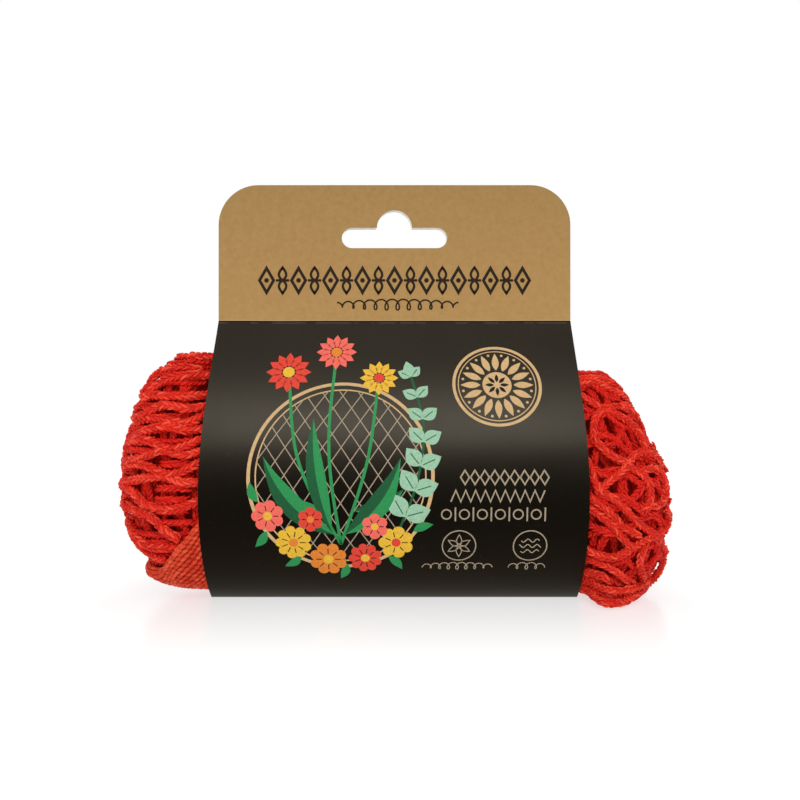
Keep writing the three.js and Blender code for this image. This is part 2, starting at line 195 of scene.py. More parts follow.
class Paint:
    """Adds nodes to a material or the world. An input is a number, a colour or the socket that feeds it."""

    def __init__(self, owner):
        owner.use_nodes = True
        self.owner = owner
        self.tree = owner.node_tree
        self.place = self.add("TexCoord").outputs

    def feed(self, node, inputs):
        for key, value in inputs.items():
            if isinstance(value, bpy.types.NodeSocket):
                self.tree.links.new(value, node.inputs[key])
            else:
                node.inputs[key].default_value = (*value, 1) if isinstance(value, tuple) else value
        return node

    def add(self, kind, inputs=None, **settings):
        node = self.tree.nodes.new("ShaderNode" + kind)
        for key, value in settings.items():
            setattr(node, key, value)
        return self.feed(node, inputs or {})

    def math(self, operation, *values):
        return self.add("Math", dict(enumerate(values)), operation=operation).outputs[0]

    def times(self, a, b):
        return self.math("MULTIPLY", a, b)

    def plus(self, a, b):
        return self.math("ADD", a, b)

    def band(self, value, low, high):
        """1 where value is between low and high, else 0."""
        return self.times(self.math("GREATER_THAN", value, low), self.math("LESS_THAN", value, high))

    def split(self, vector):
        return self.add("SeparateXYZ", {"Vector": vector}).outputs

    def noise(self, scale, detail, roughness):
        return self.add("TexNoise", {
            "Vector": self.place["Object"], "Scale": scale, "Detail": detail, "Roughness": roughness,
        }).outputs["Fac"]

    def ramp(self, factor, stops):
        """A colour ramp. stops is a list of (place, colour)."""
        node = self.add("ValToRGB", {"Fac": factor})
        elements = node.color_ramp.elements
        while len(elements) < len(stops):
            elements.new(0.5)
        for element, (place, colour) in zip(elements, stops):
            element.position = place
            element.color = (*colour, 1)
        return node.outputs["Color"]

    def blend(self, factor, first, second):
        return self.add("MixRGB", {"Fac": factor, "Color1": first, "Color2": second}).outputs["Color"]

    def fade(self, value, low, high, start, end):
        """Goes from start to end while value goes from low to high, in millimetres."""
        return self.add("MapRange", {
            "Value": value, "From Min": low * MM, "From Max": high * MM, "To Min": start, "To Max": end,
        }).outputs[0]

    def bump(self, height, strength, distance):
        inputs = {"Height": height, "Strength": strength, "Distance": distance * MM}
        return self.add("Bump", inputs).outputs["Normal"]

    def finish(self, inputs):
        """Feeds the material's own shader and gives the material."""
        self.feed(self.tree.nodes["Principled BSDF"], inputs)
        return self.owner


def new_paint(name):
    return Paint(bpy.data.materials.new(name))


BLACK = (0.0, 0.0, 0.0)
WHITE = (1.0, 1.0, 1.0)


# ---------- the sleeve's cross-section ----------

def half_curve(steps):
    """The outer face of one half of the section, as [half-depth, height] from the crease to the base."""
    crease = (CARD_THICKNESS, CREASE_HEIGHT)
    belly = (BELLY_HALF_DEPTH, BELLY_HEIGHT)
    foot = (BASE_HALF_DEPTH, 0)
    shoulder = cubic_bezier(crease, *SHOULDER_PULLS, belly, steps)
    return np.vstack([shoulder, cubic_bezier(belly, *FOOT_PULLS, foot, steps)[1:]])


def beside(curve):
    """The direction to the right of a curve of plane points, at each of them."""
    along = unit(np.gradient(curve, axis=0))
    return np.column_stack([along[:, 1], -along[:, 0]])


OUTER_CURVE = half_curve(SECTION_STEPS)
INNER_CURVE = OUTER_CURVE + beside(OUTER_CURVE) * (CARD_THICKNESS + GAP)


def mouth_half_depth(height):
    """Half-depth of the space inside the sleeve at a height."""
    depth = np.interp(height, INNER_CURVE[::-1, 1], INNER_CURVE[::-1, 0])
    return np.maximum(depth, 0)


# ---------- the surface of a lobe ----------

def fullness(lobe, z, inset):
    above = z > lobe.middle
    power = np.where(above, lobe.upper_power, lobe.lower_power)
    half = np.where(above, lobe.up, lobe.down) - inset
    share = np.minimum(1, np.abs(z - lobe.middle) / half)
    return (1 - share ** power) ** (1 / power)


def taper_at(lobe, z):
    return 1 - lobe.taper * np.maximum(0, (z - TAPER_START) / lobe.up)


def reach_at(lobe, z, inset):
    swell = lobe.swell * np.exp(-((z - SWELL_HEIGHT) / SWELL_SPREAD) ** 2)
    return (lobe.reach * taper_at(lobe, z) + swell - inset) * fullness(lobe, z, inset)


def squeeze(y, out, z, inset):
    """Near the sleeve the bundle is squeezed to the sleeve's own section."""
    limit = np.maximum(0.5, mouth_half_depth(z) - inset)
    held = np.minimum(np.abs(y), limit)
    return np.sign(y) * mix(held, np.abs(y), smooth(out / MOUTH_LENGTH))


def lobe_point(lobe, turn, z, inset):
    """A point of the lobe. turn is -1 at the sleeve's front edge, 0 at the end and 1 at its back edge."""
    turn, z, inset = np.broadcast_arrays(*(np.asarray(v, float) for v in (turn, z, inset)))
    angle = turn * math.pi / 2
    out = reach_at(lobe, z, inset) * np.maximum(0, np.cos(angle)) ** (2 / LOBE_POWER)
    depth = (lobe.half_depth * taper_at(lobe, z) - inset) * fullness(lobe, z, inset)
    free = depth * signed_power(np.sin(angle), 2 / LOBE_POWER)
    return np.stack([lobe.side * (HALF_CARD + out), squeeze(free, out, z, inset), z], axis=-1)


def height_inside(lobe, share, margin):
    """Heights from margin over the foot of a lobe to margin under its top."""
    return mix(lobe.middle - lobe.down + margin, lobe.middle + lobe.up - margin, share)


def turn_at(lobe, x, z):
    """The turn at which the middle line of a cord on the lobe's front is at a given x."""
    share = np.clip((np.abs(x) - HALF_CARD) / reach_at(lobe, z, CORD_RADIUS), 0, 1)
    return -np.arccos(share ** (LOBE_POWER / 2)) / (math.pi / 2)


def outward(lobe, points):
    """The direction that faces out of a lobe at points in or on it."""
    out = np.maximum(0, np.abs(points[..., 0]) - HALF_CARD) / lobe.reach
    deep = points[..., 1] / lobe.half_depth
    rise = points[..., 2] - lobe.middle
    rise = rise / np.where(rise > 0, lobe.up, lobe.down)
    steep = LOBE_POWER - 1
    return unit(np.stack([
        lobe.side * out ** steep / lobe.reach,
        signed_power(deep, steep) / lobe.half_depth,
        signed_power(rise, steep) / lobe.up,
    ], axis=-1))


# ---------- bodies over a grid of points ----------

def slab(outer, inner):
    """Points and quads of a closed sheet between two grids, with a face number: 0 outer, 1 inner, 2 rim."""
    rows, columns = outer.shape[:2]
    front = np.arange(rows * columns).reshape(rows, columns)
    quads = np.stack([front[:-1, :-1], front[:-1, 1:], front[1:, 1:], front[1:, :-1]], -1).reshape(-1, 4)
    around = np.concatenate([front[0, :-1], front[:-1, -1], front[-1, :0:-1], front[:0:-1, 0]])
    beyond = np.roll(around, -1)
    behind = rows * columns
    rim = np.stack([beyond, around, around + behind, beyond + behind], axis=-1)
    faces = np.vstack([quads, quads[:, ::-1] + behind, rim])
    kinds = np.repeat([0, 1, 2], [len(quads), len(quads), len(rim)])
    return np.vstack([outer.reshape(-1, 3), inner.reshape(-1, 3)]), faces, kinds


def capped_tube(name, grid, material):
    """A closed body. Each row of the grid goes round it, and the first and last are capped."""
    rows, columns = grid.shape[:2]
    here = np.arange(rows * columns).reshape(rows, columns)
    following = np.roll(here, -1, axis=1)
    faces = np.stack([here[:-1], following[:-1], following[1:], here[1:]], -1).reshape(-1, 4)
    body = mesh_object(name, grid.reshape(-1, 3), faces, [material])
    seal(body)
    return body


def ripples(grid, seed, count, spread):
    """A random relief from -1 to 1: the mean of waves that run in random directions."""
    rng = np.random.default_rng(seed)
    return sum(np.sin(grid @ rng.normal(0, spread, 3) + rng.uniform(0, 6)) for _ in range(count)) / count


# ---------- card sleeve ----------

CARD_COLUMNS = 45
FOLD_ROUNDING = 0.3
FOLD_SHARES = (0, 0.33, 0.67, 1)
HEADER_ROWS = 8
LAYER_GAP = 0.02
SLOT_SLIP = (-0.30, -0.38)
SHARP_ANGLE = math.radians(22)
CUT_HALF_DEPTH = 2
CUT_MARGIN = 1.0
RIM_FACES = 2

# Linear colours of the card, and heights over the crease.
KRAFT_TONES = [(0.25, (0.364, 0.202, 0.062)), (0.50, (0.410, 0.237, 0.077)), (0.78, (0.452, 0.272, 0.094))]
KRAFT_FIBRE = (0.510, 0.325, 0.130)
KRAFT_CLOUD = (0.364, 0.198, 0.058)
# Share of black painted into the bare board at its top edge: painted shade that darkens the header upwards.
KRAFT_TOP_PAINTED_SHADE = 0.22
KRAFT_PRESSED = (0.62, 0.44, 0.30)
INK_TONES = [(0.30, (0.0042, 0.0028, 0.0017)), (0.72, (0.0080, 0.0056, 0.0036))]
INK_SPECK = (0.060, 0.048, 0.036)
# Grey patches in a band just under the crease: partly worn ink, partly a painted highlight on the fold.
INK_WORN_AND_HIGHLIGHT = (0.060, 0.062, 0.058)
# Nearly black ink in the groove just under the crease: painted shade in the fold.
INK_GROOVE_PAINTED_SHADE = (0.0005, 0.0004, 0.0003)
INK_EDGE = -0.05
WORN_AND_HIGHLIGHT_BAND = (-0.95, -0.5)
GROOVE_PAINTED_SHADE_BAND = (-0.45, 0)
PRESSED_BAND = (0, 0.25)
EDGE_WANDER = 0.35


def strip_section():
    """The strip's outer face from the top of the front layer, under the bundle, to the back layer's top."""
    header = np.column_stack([
        np.full(HEADER_ROWS, CARD_THICKNESS), np.linspace(TOTAL_HEIGHT, CREASE_HEIGHT, HEADER_ROWS),
    ])
    half = np.vstack([header[:-1], half_curve(2 * SECTION_STEPS)])
    fold = half[-1]
    before = fold + unit(half[-2] - fold) * FOLD_ROUNDING
    after = fold - np.array([FOLD_ROUNDING, 0])
    t = np.array(FOLD_SHARES)[:, None]
    rounded = before * (1 - t) ** 2 + 2 * fold * t * (1 - t) + after * t ** 2
    half = np.vstack([half[:-1], rounded])
    return np.vstack([half, [(0, 0)], half[::-1] * (-1, 1)]) * (-1, 1)


SECTION = strip_section()
SECTION_FACING = beside(SECTION)
# Distance down the card's front from the crease.
SECTION_DISTANCE = run_length(SECTION) - run_length(SECTION)[HEADER_ROWS - 1]


def strip_grid(inset):
    """The strip's grid of points at a depth under its outer face."""
    grid = np.zeros((len(SECTION), CARD_COLUMNS, 3))
    grid[..., 0] = np.linspace(-HALF_CARD, HALF_CARD, CARD_COLUMNS)
    grid[..., 1:] = (SECTION - SECTION_FACING * inset)[:, None, :]
    return grid


def arc(centre, radius, start, end, steps=14):
    """Points of an arc, with its angles in degrees."""
    angles = np.radians(np.linspace(start, end, steps + 1))
    return np.column_stack([centre[0] + radius * np.cos(angles), centre[1] + radius * np.sin(angles)])


def slot_outline(slip):
    end = SLOT_LENGTH / 2 - SLOT_HEIGHT / 2
    middle = SLOT_BOTTOM + SLOT_HEIGHT / 2
    return slip + np.vstack([
        arc((0, SLOT_BOTTOM + SLOT_HEIGHT), SLOT_DOME_RADIUS, 180, 0, steps=24),
        arc((end, middle), SLOT_HEIGHT / 2, 90, -90),
        arc((-end, middle), SLOT_HEIGHT / 2, -90, -270),
    ])


def corner_outline(side):
    """What is cut off at an upper corner to round it."""
    x, z = side * (HALF_CARD - HEADER_CORNER_RADIUS), TOTAL_HEIGHT - HEADER_CORNER_RADIUS
    far_x, far_z = side * (HALF_CARD + CUT_MARGIN), TOTAL_HEIGHT + CUT_MARGIN
    rounding = arc((x, z), HEADER_CORNER_RADIUS, 90 - side * 90, 90, steps=20)
    return np.vstack([rounding, [(x, far_z), (far_x, far_z), (far_x, z)]])


def cut(piece, outline, low_y, high_y):
    """Cuts a prism along Y, over an outline of [x, z] points, out of a piece."""
    model = bmesh.new()
    model.faces.new([model.verts.new((x * MM, low_y * MM, z * MM)) for x, z in outline])
    moved = bmesh.ops.extrude_face_region(model, geom=model.faces[:])["geom"]
    corners = [item for item in moved if isinstance(item, bmesh.types.BMVert)]
    bmesh.ops.translate(model, verts=corners, vec=(0, (high_y - low_y) * MM, 0))
    bmesh.ops.recalc_face_normals(model, faces=model.faces)
    for face in model.faces:
        face.material_index = RIM_FACES
    mesh = bpy.data.meshes.new("cutter")
    model.to_mesh(mesh)
    model.free()
    cutter = in_scene("cutter", mesh)
    modifier = piece.modifiers.new("cut", "BOOLEAN")
    modifier.operation = "DIFFERENCE"
    modifier.solver = "EXACT"
    modifier.object = cutter
    result = bpy.data.meshes.new_from_object(piece.evaluated_get(bpy.context.evaluated_depsgraph_get()))
    piece.modifiers.clear()
    piece.data = result
    bpy.data.objects.remove(cutter)


def card_sleeve(materials):
    points, faces, kinds = slab(strip_grid(0), strip_grid(CARD_THICKNESS - LAYER_GAP / 2))
    sleeve = mesh_object("card_strip", points, faces, materials)
    sleeve.data.polygons.foreach_set("material_index", kinds.astype(np.int32))
    seal(sleeve)
    cut(sleeve, slot_outline((0, 0)), -CUT_HALF_DEPTH, 0)
    cut(sleeve, slot_outline(SLOT_SLIP), 0, CUT_HALF_DEPTH)
    for side in (-1, 1):
        cut(sleeve, corner_outline(side), -CUT_HALF_DEPTH, CUT_HALF_DEPTH)
    sleeve.data.shade_smooth()
    sleeve.data.set_sharp_from_angle(angle=SHARP_ANGLE)
    return sleeve


def card_material():
    """Uncoated kraft board; below the crease its outer face is printed black with a satin coat."""
    paint = new_paint("card_outer")
    height = paint.split(paint.place["Object"])["Z"]
    fibre = paint.noise(scale=1800, detail=4, roughness=0.7)
    mottle = paint.noise(scale=620, detail=3, roughness=0.6)
    cloud = paint.noise(scale=22, detail=2, roughness=0.5)
    edge = paint.plus(height, paint.times(paint.math("SUBTRACT", cloud, 0.5), EDGE_WANDER * MM))

    def strip(limits):
        low, high = ((CREASE_HEIGHT + limit) * MM for limit in limits)
        return paint.band(edge, low, high)

    kraft = paint.ramp(mottle, KRAFT_TONES)
    kraft = paint.blend(paint.times(fibre, 0.45), kraft, KRAFT_FIBRE)
    kraft = paint.blend(paint.times(cloud, 0.22), kraft, KRAFT_CLOUD)
    # Painted shade: the bare board grows darker towards the header's top edge.
    kraft = paint.blend(paint.fade(height, CREASE_HEIGHT, TOTAL_HEIGHT, 0.0, KRAFT_TOP_PAINTED_SHADE), kraft, BLACK)
    kraft = paint.blend(paint.times(strip(PRESSED_BAND), 0.35), kraft, KRAFT_PRESSED)
    speck = paint.noise(scale=950, detail=1, roughness=0.4)
    speck = paint.ramp(speck, [(0.74, BLACK), (0.80, WHITE)])
    rubbed_and_highlight_patches = paint.math("GREATER_THAN", paint.noise(scale=130, detail=3, roughness=0.6), 0.5)
    shaded_groove = strip(GROOVE_PAINTED_SHADE_BAND)
    ink = paint.ramp(fibre, INK_TONES)
    ink = paint.blend(paint.times(speck, 0.25), ink, INK_SPECK)
    # Grey patches just under the crease: partly worn ink, partly a painted highlight on the fold.
    ink = paint.blend(paint.times(strip(WORN_AND_HIGHLIGHT_BAND), paint.times(rubbed_and_highlight_patches, 0.5)), ink, INK_WORN_AND_HIGHLIGHT)
    # Painted shade: the groove just under the crease is painted nearly black. The same band is also made
    # rougher.
    ink = paint.blend(shaded_groove, ink, INK_GROOVE_PAINTED_SHADE)
    printed = paint.math("LESS_THAN", edge, (CREASE_HEIGHT + INK_EDGE) * MM)
    satin = paint.noise(scale=60, detail=4, roughness=0.6)
    satin = paint.plus(paint.times(satin, 0.12), 0.29)
    satin = paint.plus(satin, paint.times(shaded_groove, 0.6))
    return paint.finish({
        "Base Color": paint.blend(printed, kraft, ink),
        "Roughness": paint.add("Mix", {0: printed, 2: 0.82, 3: satin}, data_type="FLOAT").outputs[0],
        "Normal": paint.bump(paint.plus(paint.times(fibre, 0.5), mottle), strength=0.12, distance=0.06),
        "Specular IOR Level": 0.5,
        "Specular Tint": (1.0, 0.93, 0.75),
    })


def plain_card_material(name, dark, light, scale):
    """Bare board: the inside of the sleeve, or its cut edge."""
    paint = new_paint(name)
    grain = paint.noise(scale, detail=4, roughness=0.7)
    return paint.finish({
        "Base Color": paint.ramp(grain, [(0.3, dark), (0.7, light)]),
        "Normal": paint.bump(grain, strength=0.25, distance=0.05),
        "Roughness": 0.9,
    })


# ---------- print on the card ----------

# Places on the print are [x, s] in millimetres: s is the distance down the card's front from the
# crease, and is negative on the header. Angles are in degrees, anticlockwise as the print is seen.
PRINT_LIFT = 0.025
PRINT_ROOT = -0.03
LEVEL_LIFT = 0.012
LEAF_STEPS = 10
PETAL_STEPS = 10
STEM_STEPS = 23
HALF_LOOP_STEPS = 10

# Linear colours of the inks.
INKS = dict(
    tan=(0.66, 0.44, 0.21), sand=(0.40, 0.325, 0.225), mint=(0.33, 0.58, 0.40), coral=(0.92, 0.15, 0.11),
    red=(0.78, 0.055, 0.028), yellow=(0.84, 0.50, 0.035), amber=(0.80, 0.24, 0.025),
    green=(0.022, 0.30, 0.085), deep_green=(0.008, 0.115, 0.038), black=(0.008, 0.006, 0.005),
    brown=(0.018, 0.008, 0.003),
)

# The ink's shares of its colour, by the place on a fine noise.
INK_UNEVENNESS = ((0.30, 0.84), (0.55, 1), (0.75, 1.08))
FINE_LINE = 0.28
BOLD_LINE = 0.44

TRELLIS_CENTRE = (-15.0, 50.0)
TRELLIS_SIZE = (26.0, 27.5)
TRELLIS_RIM = 2.0
TRELLIS_PITCH = 4.4
TRELLIS_SLANT = 56
STEM_FOOT = (-15.0, 70.0)
# Tall daisies: ink, ink of the heart, head, waist of the stem and radius.
DAISIES = [
    ("red", "yellow", (-31.5, 18.5), (-27, 46), 6.6),
    ("coral", "amber", (-17.5, 11.5), (-18.5, 42), 6.0),
    ("yellow", "red", (-4.5, 20.5), (-7.5, 46), 5.6),
]
# A daisy's petals: their number, and their start, length and width as shares of its radius.
DAISY_PETALS = 12
DAISY_PETAL = (0.28, 0.74, 0.40)
DAISY_HEART = 0.27
# Long leaves: root, angle, length, width and bend.
LONG_LEAVES = [
    ((-19, 60), 160, 17, 5.0, 0.12), ((-11, 60), 24, 15, 4.8, -0.12),
    ((-17, 67), 132, 30, 6.4, 0.10), ((-14, 67), 54, 27, 6.2, -0.10), ((-17.5, 66), 100, 33, 5.4, 0.05),
]
SPRIG = [(0, 69), (6.5, 52), (8.5, 36), (5.0, 20)]
# Length of the sprig's first leaves, how much shorter each next pair is, and their angle to the stem.
SPRIG_LEAF = 7.6
SPRIG_LEAF_STEP = 0.55
SPRIG_SPREAD = 52
# The garland: place, radius, number of petals, ink and ink of the heart. Small leaves: root and angle.
GARLAND = [
    ((-35.5, 61.5), 4.6, 7, "coral", "yellow"), ((-28.5, 69.5), 5.2, 9, "yellow", "amber"),
    ((-18.8, 75.0), 5.4, 8, "amber", "yellow"), ((-8.2, 74.6), 4.8, 9, "red", "yellow"),
    ((0.6, 69.5), 5.0, 7, "yellow", "red"), ((-23.5, 62.5), 3.6, 6, "red", "amber"),
    ((-5.4, 64.6), 3.8, 6, "coral", "yellow"),
]
SMALL_LEAVES = [
    ((-36, 66), 235), ((-26.5, 74), 215), ((-13.5, 76.5), 250), ((-1.5, 74), 310), ((5.5, 66), 20),
    ((-38.5, 57.5), 110),
]
EMBLEM_CENTRE = (30.4, 22.8)
EMBLEM_RADIUS = 13.2
EMBLEM_PETALS = 16
# Rows of ornament: where each starts and its place down the card. They end at the right margin.
LOZENGE_ROW, ZIGZAG_ROW, BEAD_ROW = (18.6, 50.6), (16.0, 55.8), (13.5, 61.0)
RIGHT_MARGIN = 43.8
ZIGZAG_PITCH = 1.39
ZIGZAG_HALF_HEIGHT = 1.6
ICON_HEIGHT = 70.6
ICON_PLACES = (18.5, 38.7)
ICON_RADIUS = 4.75
# Middle and half-length of the flourish under each icon.
ICON_FLOURISHES = [((18.2, 77.4), 10.1), ((38.2, 77.4), 5.3)]
FRIEZE_HALF_LENGTH = 42.5
FRIEZE_HEIGHT = -12.6


def on_front(places, lift):
    """Points on the flat facets of the sleeve's face, raised by lift."""
    face, facing = (read_off(places[:, 1], SECTION_DISTANCE, values) for values in (SECTION, SECTION_FACING))
    return np.column_stack([places[:, 0], face + facing * lift])


def turned(points, angle, root):
    """Points drawn along +x and up, turned by an angle and moved to a root."""
    x, up = np.asarray(points, float).T
    c, s = math.cos(math.radians(angle)), math.sin(math.radians(angle))
    return np.column_stack([root[0] + x * c - up * s, root[1] - x * s - up * c])


def spot(centre, angle, distance):
    return turned([(distance, 0)], angle, centre)[0]


def circle(centre, radius, steps, squash=1.0):
    angle = 2 * math.pi * np.arange(steps) / steps
    return np.column_stack([centre[0] + radius * np.cos(angle), centre[1] + radius * squash * np.sin(angle)])


def leaf(root, angle, length, width, bend=0.0, half=False):
    """The outline of a leaf or pointed petal from its root, or of its half on one side of the vein."""
    t = np.linspace(0, 1, LEAF_STEPS + 1)
    spread = width / 2 * np.sin(math.pi * t ** 0.85)
    vein = bend * length * 4 * t * (1 - t)
    there = np.column_stack([t * length, vein + spread])
    back = np.column_stack([t * length, vein if half else vein - spread])
    return turned(np.vstack([there, back[-2:0:-1]]), angle, root)


def blossom(centre, radius, petals, depth=0.22):
    """A scalloped round outline."""
    angle = np.linspace(0, 2 * math.pi, petals * PETAL_STEPS, endpoint=False)
    reach = radius * (1 - depth + depth * np.abs(np.sin(angle * petals / 2)) ** 0.7)
    return np.column_stack([centre[0] + reach * np.cos(angle), centre[1] + reach * np.sin(angle)])


def lozenge(x, s, half_width, half_height):
    return [(x - half_width, s), (x, s - half_height), (x + half_width, s), (x, s + half_height)]


def stroke(points, width, closed):
    """A line of even width through points, as points and triangles."""
    points = np.asarray(points, float)
    before = points - np.roll(points, 1, axis=0)
    after = np.roll(points, -1, axis=0) - points
    if not closed:
        before[0], after[-1] = after[0], before[-1]
    before, after = unit(before), unit(after)
    along = unit(before + after)
    aside = np.column_stack([-along[:, 1], along[:, 0]])
    square = np.maximum(0.5, (along * after).sum(axis=1))[:, None]
    aside = aside * width / 2 / square
    count = len(points)
    start = np.arange(count if closed else count - 1)
    following = (start + 1) % count
    faces = np.vstack([
        np.column_stack([start, following, following + count]),
        np.column_stack([start, following + count, start + count]),
    ])
    return np.vstack([points + aside, points - aside]), faces


def chord(centre, size, angle, offset):
    """The stretch of a slanting line inside an ellipse. offset is its distance from the centre."""
    along = np.array([math.cos(math.radians(angle)), math.sin(math.radians(angle))])
    base = np.array([-along[1], along[0]]) * offset
    size = np.array(size)
    a = ((along / size) ** 2).sum()
    b = 2 * (along * base / size ** 2).sum()
    c = ((base / size) ** 2).sum() - 1
    root = math.sqrt(b * b - 4 * a * c)
    return [np.array(centre) + base + along * (-b + sign * root) / (2 * a) for sign in (-1, 1)]


class Print:
    """Collects fields of colour. A field of a higher level lies over those of lower levels."""

    def __init__(self):
        self.fields = {ink: [] for ink in INKS}

    def fill(self, ink, level, outline):
        triangles = tessellate_polygon([[Vector((x, s, 0)) for x, s in outline]])
        self.fields[ink].append((level, np.asarray(outline, float), triangles))

    def line(self, ink, level, points, width, closed=False):
        self.fields[ink].append((level, *stroke(points, width, closed)))

    def ring(self, ink, level, centre, radius, width, steps, squash=1.0):
        self.line(ink, level, circle(centre, radius, steps, squash), width, True)

    def spoke(self, ink, level, centre, angle, start, end, width):
        """A short line that points away from a centre."""
        self.line(ink, level, turned([(start, 0), (end, 0)], angle, centre), width)

    def petals(self, ink, level, centre, count, start, length, width):
        """Leaves that point away from a centre and start at a distance from it."""
        for angle in 360 * np.arange(count) / count:
            self.fill(ink, level, leaf(spot(centre, angle, start), angle, length, width))


def faceted_fields(fields):
    """Points and triangles of flat fields, cut along the sleeve's facets so that they can follow them."""
    model = bmesh.new()
    for level, points, triangles in fields:
        corners = [model.verts.new((x, s, level)) for x, s in points]
        for a, b, c in triangles:
            first, second = points[b] - points[a], points[c] - points[a]
            area = first[0] * second[1] - first[1] * second[0]
            if abs(area) > 1e-7:
                model.faces.new([corners[i] for i in ((a, b, c) if area > 0 else (a, c, b))])
    for s in SECTION_DISTANCE:
        everything = model.verts[:] + model.edges[:] + model.faces[:]
        bmesh.ops.bisect_plane(model, geom=everything, dist=1e-5, plane_co=(0, s, 0), plane_no=(0, 1, 0))
    bmesh.ops.triangulate(model, faces=model.faces[:])
    model.verts.index_update()
    flat = np.array([vertex.co for vertex in model.verts])
    faces = np.array([[vertex.index for vertex in face.verts] for face in model.faces])
    model.free()
    return flat, faces


def printed_piece(ink, fields):
    """One closed thin piece of one ink: each field has a face, a back inside the card and a rim."""
    flat, faces = faceted_fields(fields)
    count = len(flat)
    lift = PRINT_LIFT + flat[:, 2:] * LEVEL_LIFT
    points = np.vstack([on_front(flat[:, :2], lift), on_front(flat[:, :2], PRINT_ROOT)])
    edges = np.vstack([faces[:, [0, 1]], faces[:, [1, 2]], faces[:, [2, 0]]])
    numbers = edges[:, 0] * count + edges[:, 1]
    a, b = edges[~np.isin(numbers, edges[:, 1] * count + edges[:, 0])].T
    faces = np.vstack([
        faces, faces[:, ::-1] + count,
        np.column_stack([b, a, a + count]), np.column_stack([b, a + count, b + count]),
    ])
    piece = mesh_object(f"print_{ink}", points, faces, [ink_material(ink)])
    seal(piece)
    piece.data.set_sharp_from_angle(angle=SHARP_ANGLE)
    return piece


def ink_material(ink):
    """Ink on board: a slightly uneven colour with the board's fine grain."""
    paint = new_paint(f"ink_{ink}")
    fleck = paint.noise(scale=1500, detail=3, roughness=0.6)
    tones = [(place, tuple(np.array(INKS[ink]) * share)) for place, share in INK_UNEVENNESS]
    return paint.finish({
        "Base Color": paint.ramp(fleck, tones),
        "Normal": paint.bump(fleck, strength=0.12, distance=0.04),
        "Roughness": 0.55,
        "Specular IOR Level": 0.3,
    })


def draw_trellis(sheet):
    """Two rings round a slanting lattice."""
    inner = [half - TRELLIS_RIM for half in TRELLIS_SIZE]
    lines = int(min(inner) / TRELLIS_PITCH)
    for (width, height), line in ((TRELLIS_SIZE, 1.0), (inner, 0.4)):
        sheet.ring("tan", 0, TRELLIS_CENTRE, width, line, steps=90, squash=height / width)
    for level, angle in ((0, TRELLIS_SLANT), (0.5, -TRELLIS_SLANT)):
        for step in range(-lines, lines + 1):
            ends = chord(TRELLIS_CENTRE, inner, angle, step * TRELLIS_PITCH)
            sheet.line("sand", level, ends, FINE_LINE)


def draw_stem(sheet, ink, level, points, width):
    sheet.line(ink, level, through(points, np.linspace(0, 1, STEM_STEPS + 1)), width)


def draw_flowers(sheet):
    """Three tall daisies whose stems meet low on the trellis, with long leaves in two tones."""
    for ink, heart, head, waist, radius in DAISIES:
        draw_stem(sheet, "green", 1, [head, waist, STEM_FOOT], width=0.9)
        start, length, width = (radius * share for share in DAISY_PETAL)
        sheet.petals(ink, 4, head, DAISY_PETALS, start, length, width)
        sheet.fill(heart, 5, circle(head, radius * DAISY_HEART, steps=24))
    for order, sizes in enumerate(LONG_LEAVES):
        level = 1.4 + 0.8 * order
        sheet.fill("green", level, leaf(*sizes))
        sheet.fill("deep_green", level + 0.4, leaf(*sizes, half=True))


def draw_mint_sprig(sheet):
    """A curved stem with pairs of round leaves, at the right of the trellis."""
    stem = through(SPRIG, np.linspace(0, 1, 8))
    draw_stem(sheet, "deep_green", 2, stem, width=0.7)
    for i, centre in enumerate(stem[1:]):
        along = stem[i + 1] - stem[i]
        heading = math.degrees(math.atan2(-along[1], along[0]))
        size = SPRIG_LEAF - SPRIG_LEAF_STEP * i
        for angle in (heading - SPRIG_SPREAD, heading + SPRIG_SPREAD):
            sheet.fill("mint", 3.5, leaf(centre, angle, size, width=size * 0.74))
            sheet.spoke("deep_green", 4, centre, angle, size * 0.12, size * 0.7, FINE_LINE)
    sheet.fill("mint", 4.5, leaf(stem[-1], angle=105, length=5.4, width=3.4))


def draw_garland(sheet):
    """A half wreath of blossoms and small leaves along the foot of the trellis."""
    for centre, radius, petals, ink, heart in GARLAND:
        sheet.fill(ink, 6 if radius > 4 else 6.5, blossom(centre, radius, petals))
        for i in range(petals):
            sheet.spoke("black", 7, centre, 360 * i / petals, radius * 0.34, radius * 0.66, width=0.26)
        sheet.fill(heart, 7, circle(centre, radius * 0.26, steps=20))
    for root, angle in SMALL_LEAVES:
        sheet.fill("green", 5, leaf(root, angle, length=6.0, width=2.6, bend=0.08))


def draw_emblem(sheet):
    """A rosette of two rings of petals inside a ring."""
    sheet.ring("tan", 0, EMBLEM_CENTRE, EMBLEM_RADIUS - 0.45, width=0.9, steps=96)
    sheet.ring("tan", 0, EMBLEM_CENTRE, EMBLEM_RADIUS - 1.75, width=0.3, steps=96)
    sheet.petals("tan", 0, EMBLEM_CENTRE, EMBLEM_PETALS, start=4.9, length=5.9, width=2.1)
    for i in range(EMBLEM_PETALS):
        dot = spot(EMBLEM_CENTRE, angle=360 * (i + 0.5) / EMBLEM_PETALS, distance=10.2)
        sheet.fill("tan", 0, circle(dot, radius=0.42, steps=12))
    sheet.fill("tan", 1, circle(EMBLEM_CENTRE, radius=4.3, steps=48))
    sheet.petals("black", 2, EMBLEM_CENTRE, EMBLEM_PETALS // 2, start=0.9, length=2.7, width=1.1)


def spaced(start, end, count):
    """The pitch and the middles of equal shares of a stretch."""
    pitch = (end - start) / count
    return pitch, start + pitch * (np.arange(count) + 0.5)


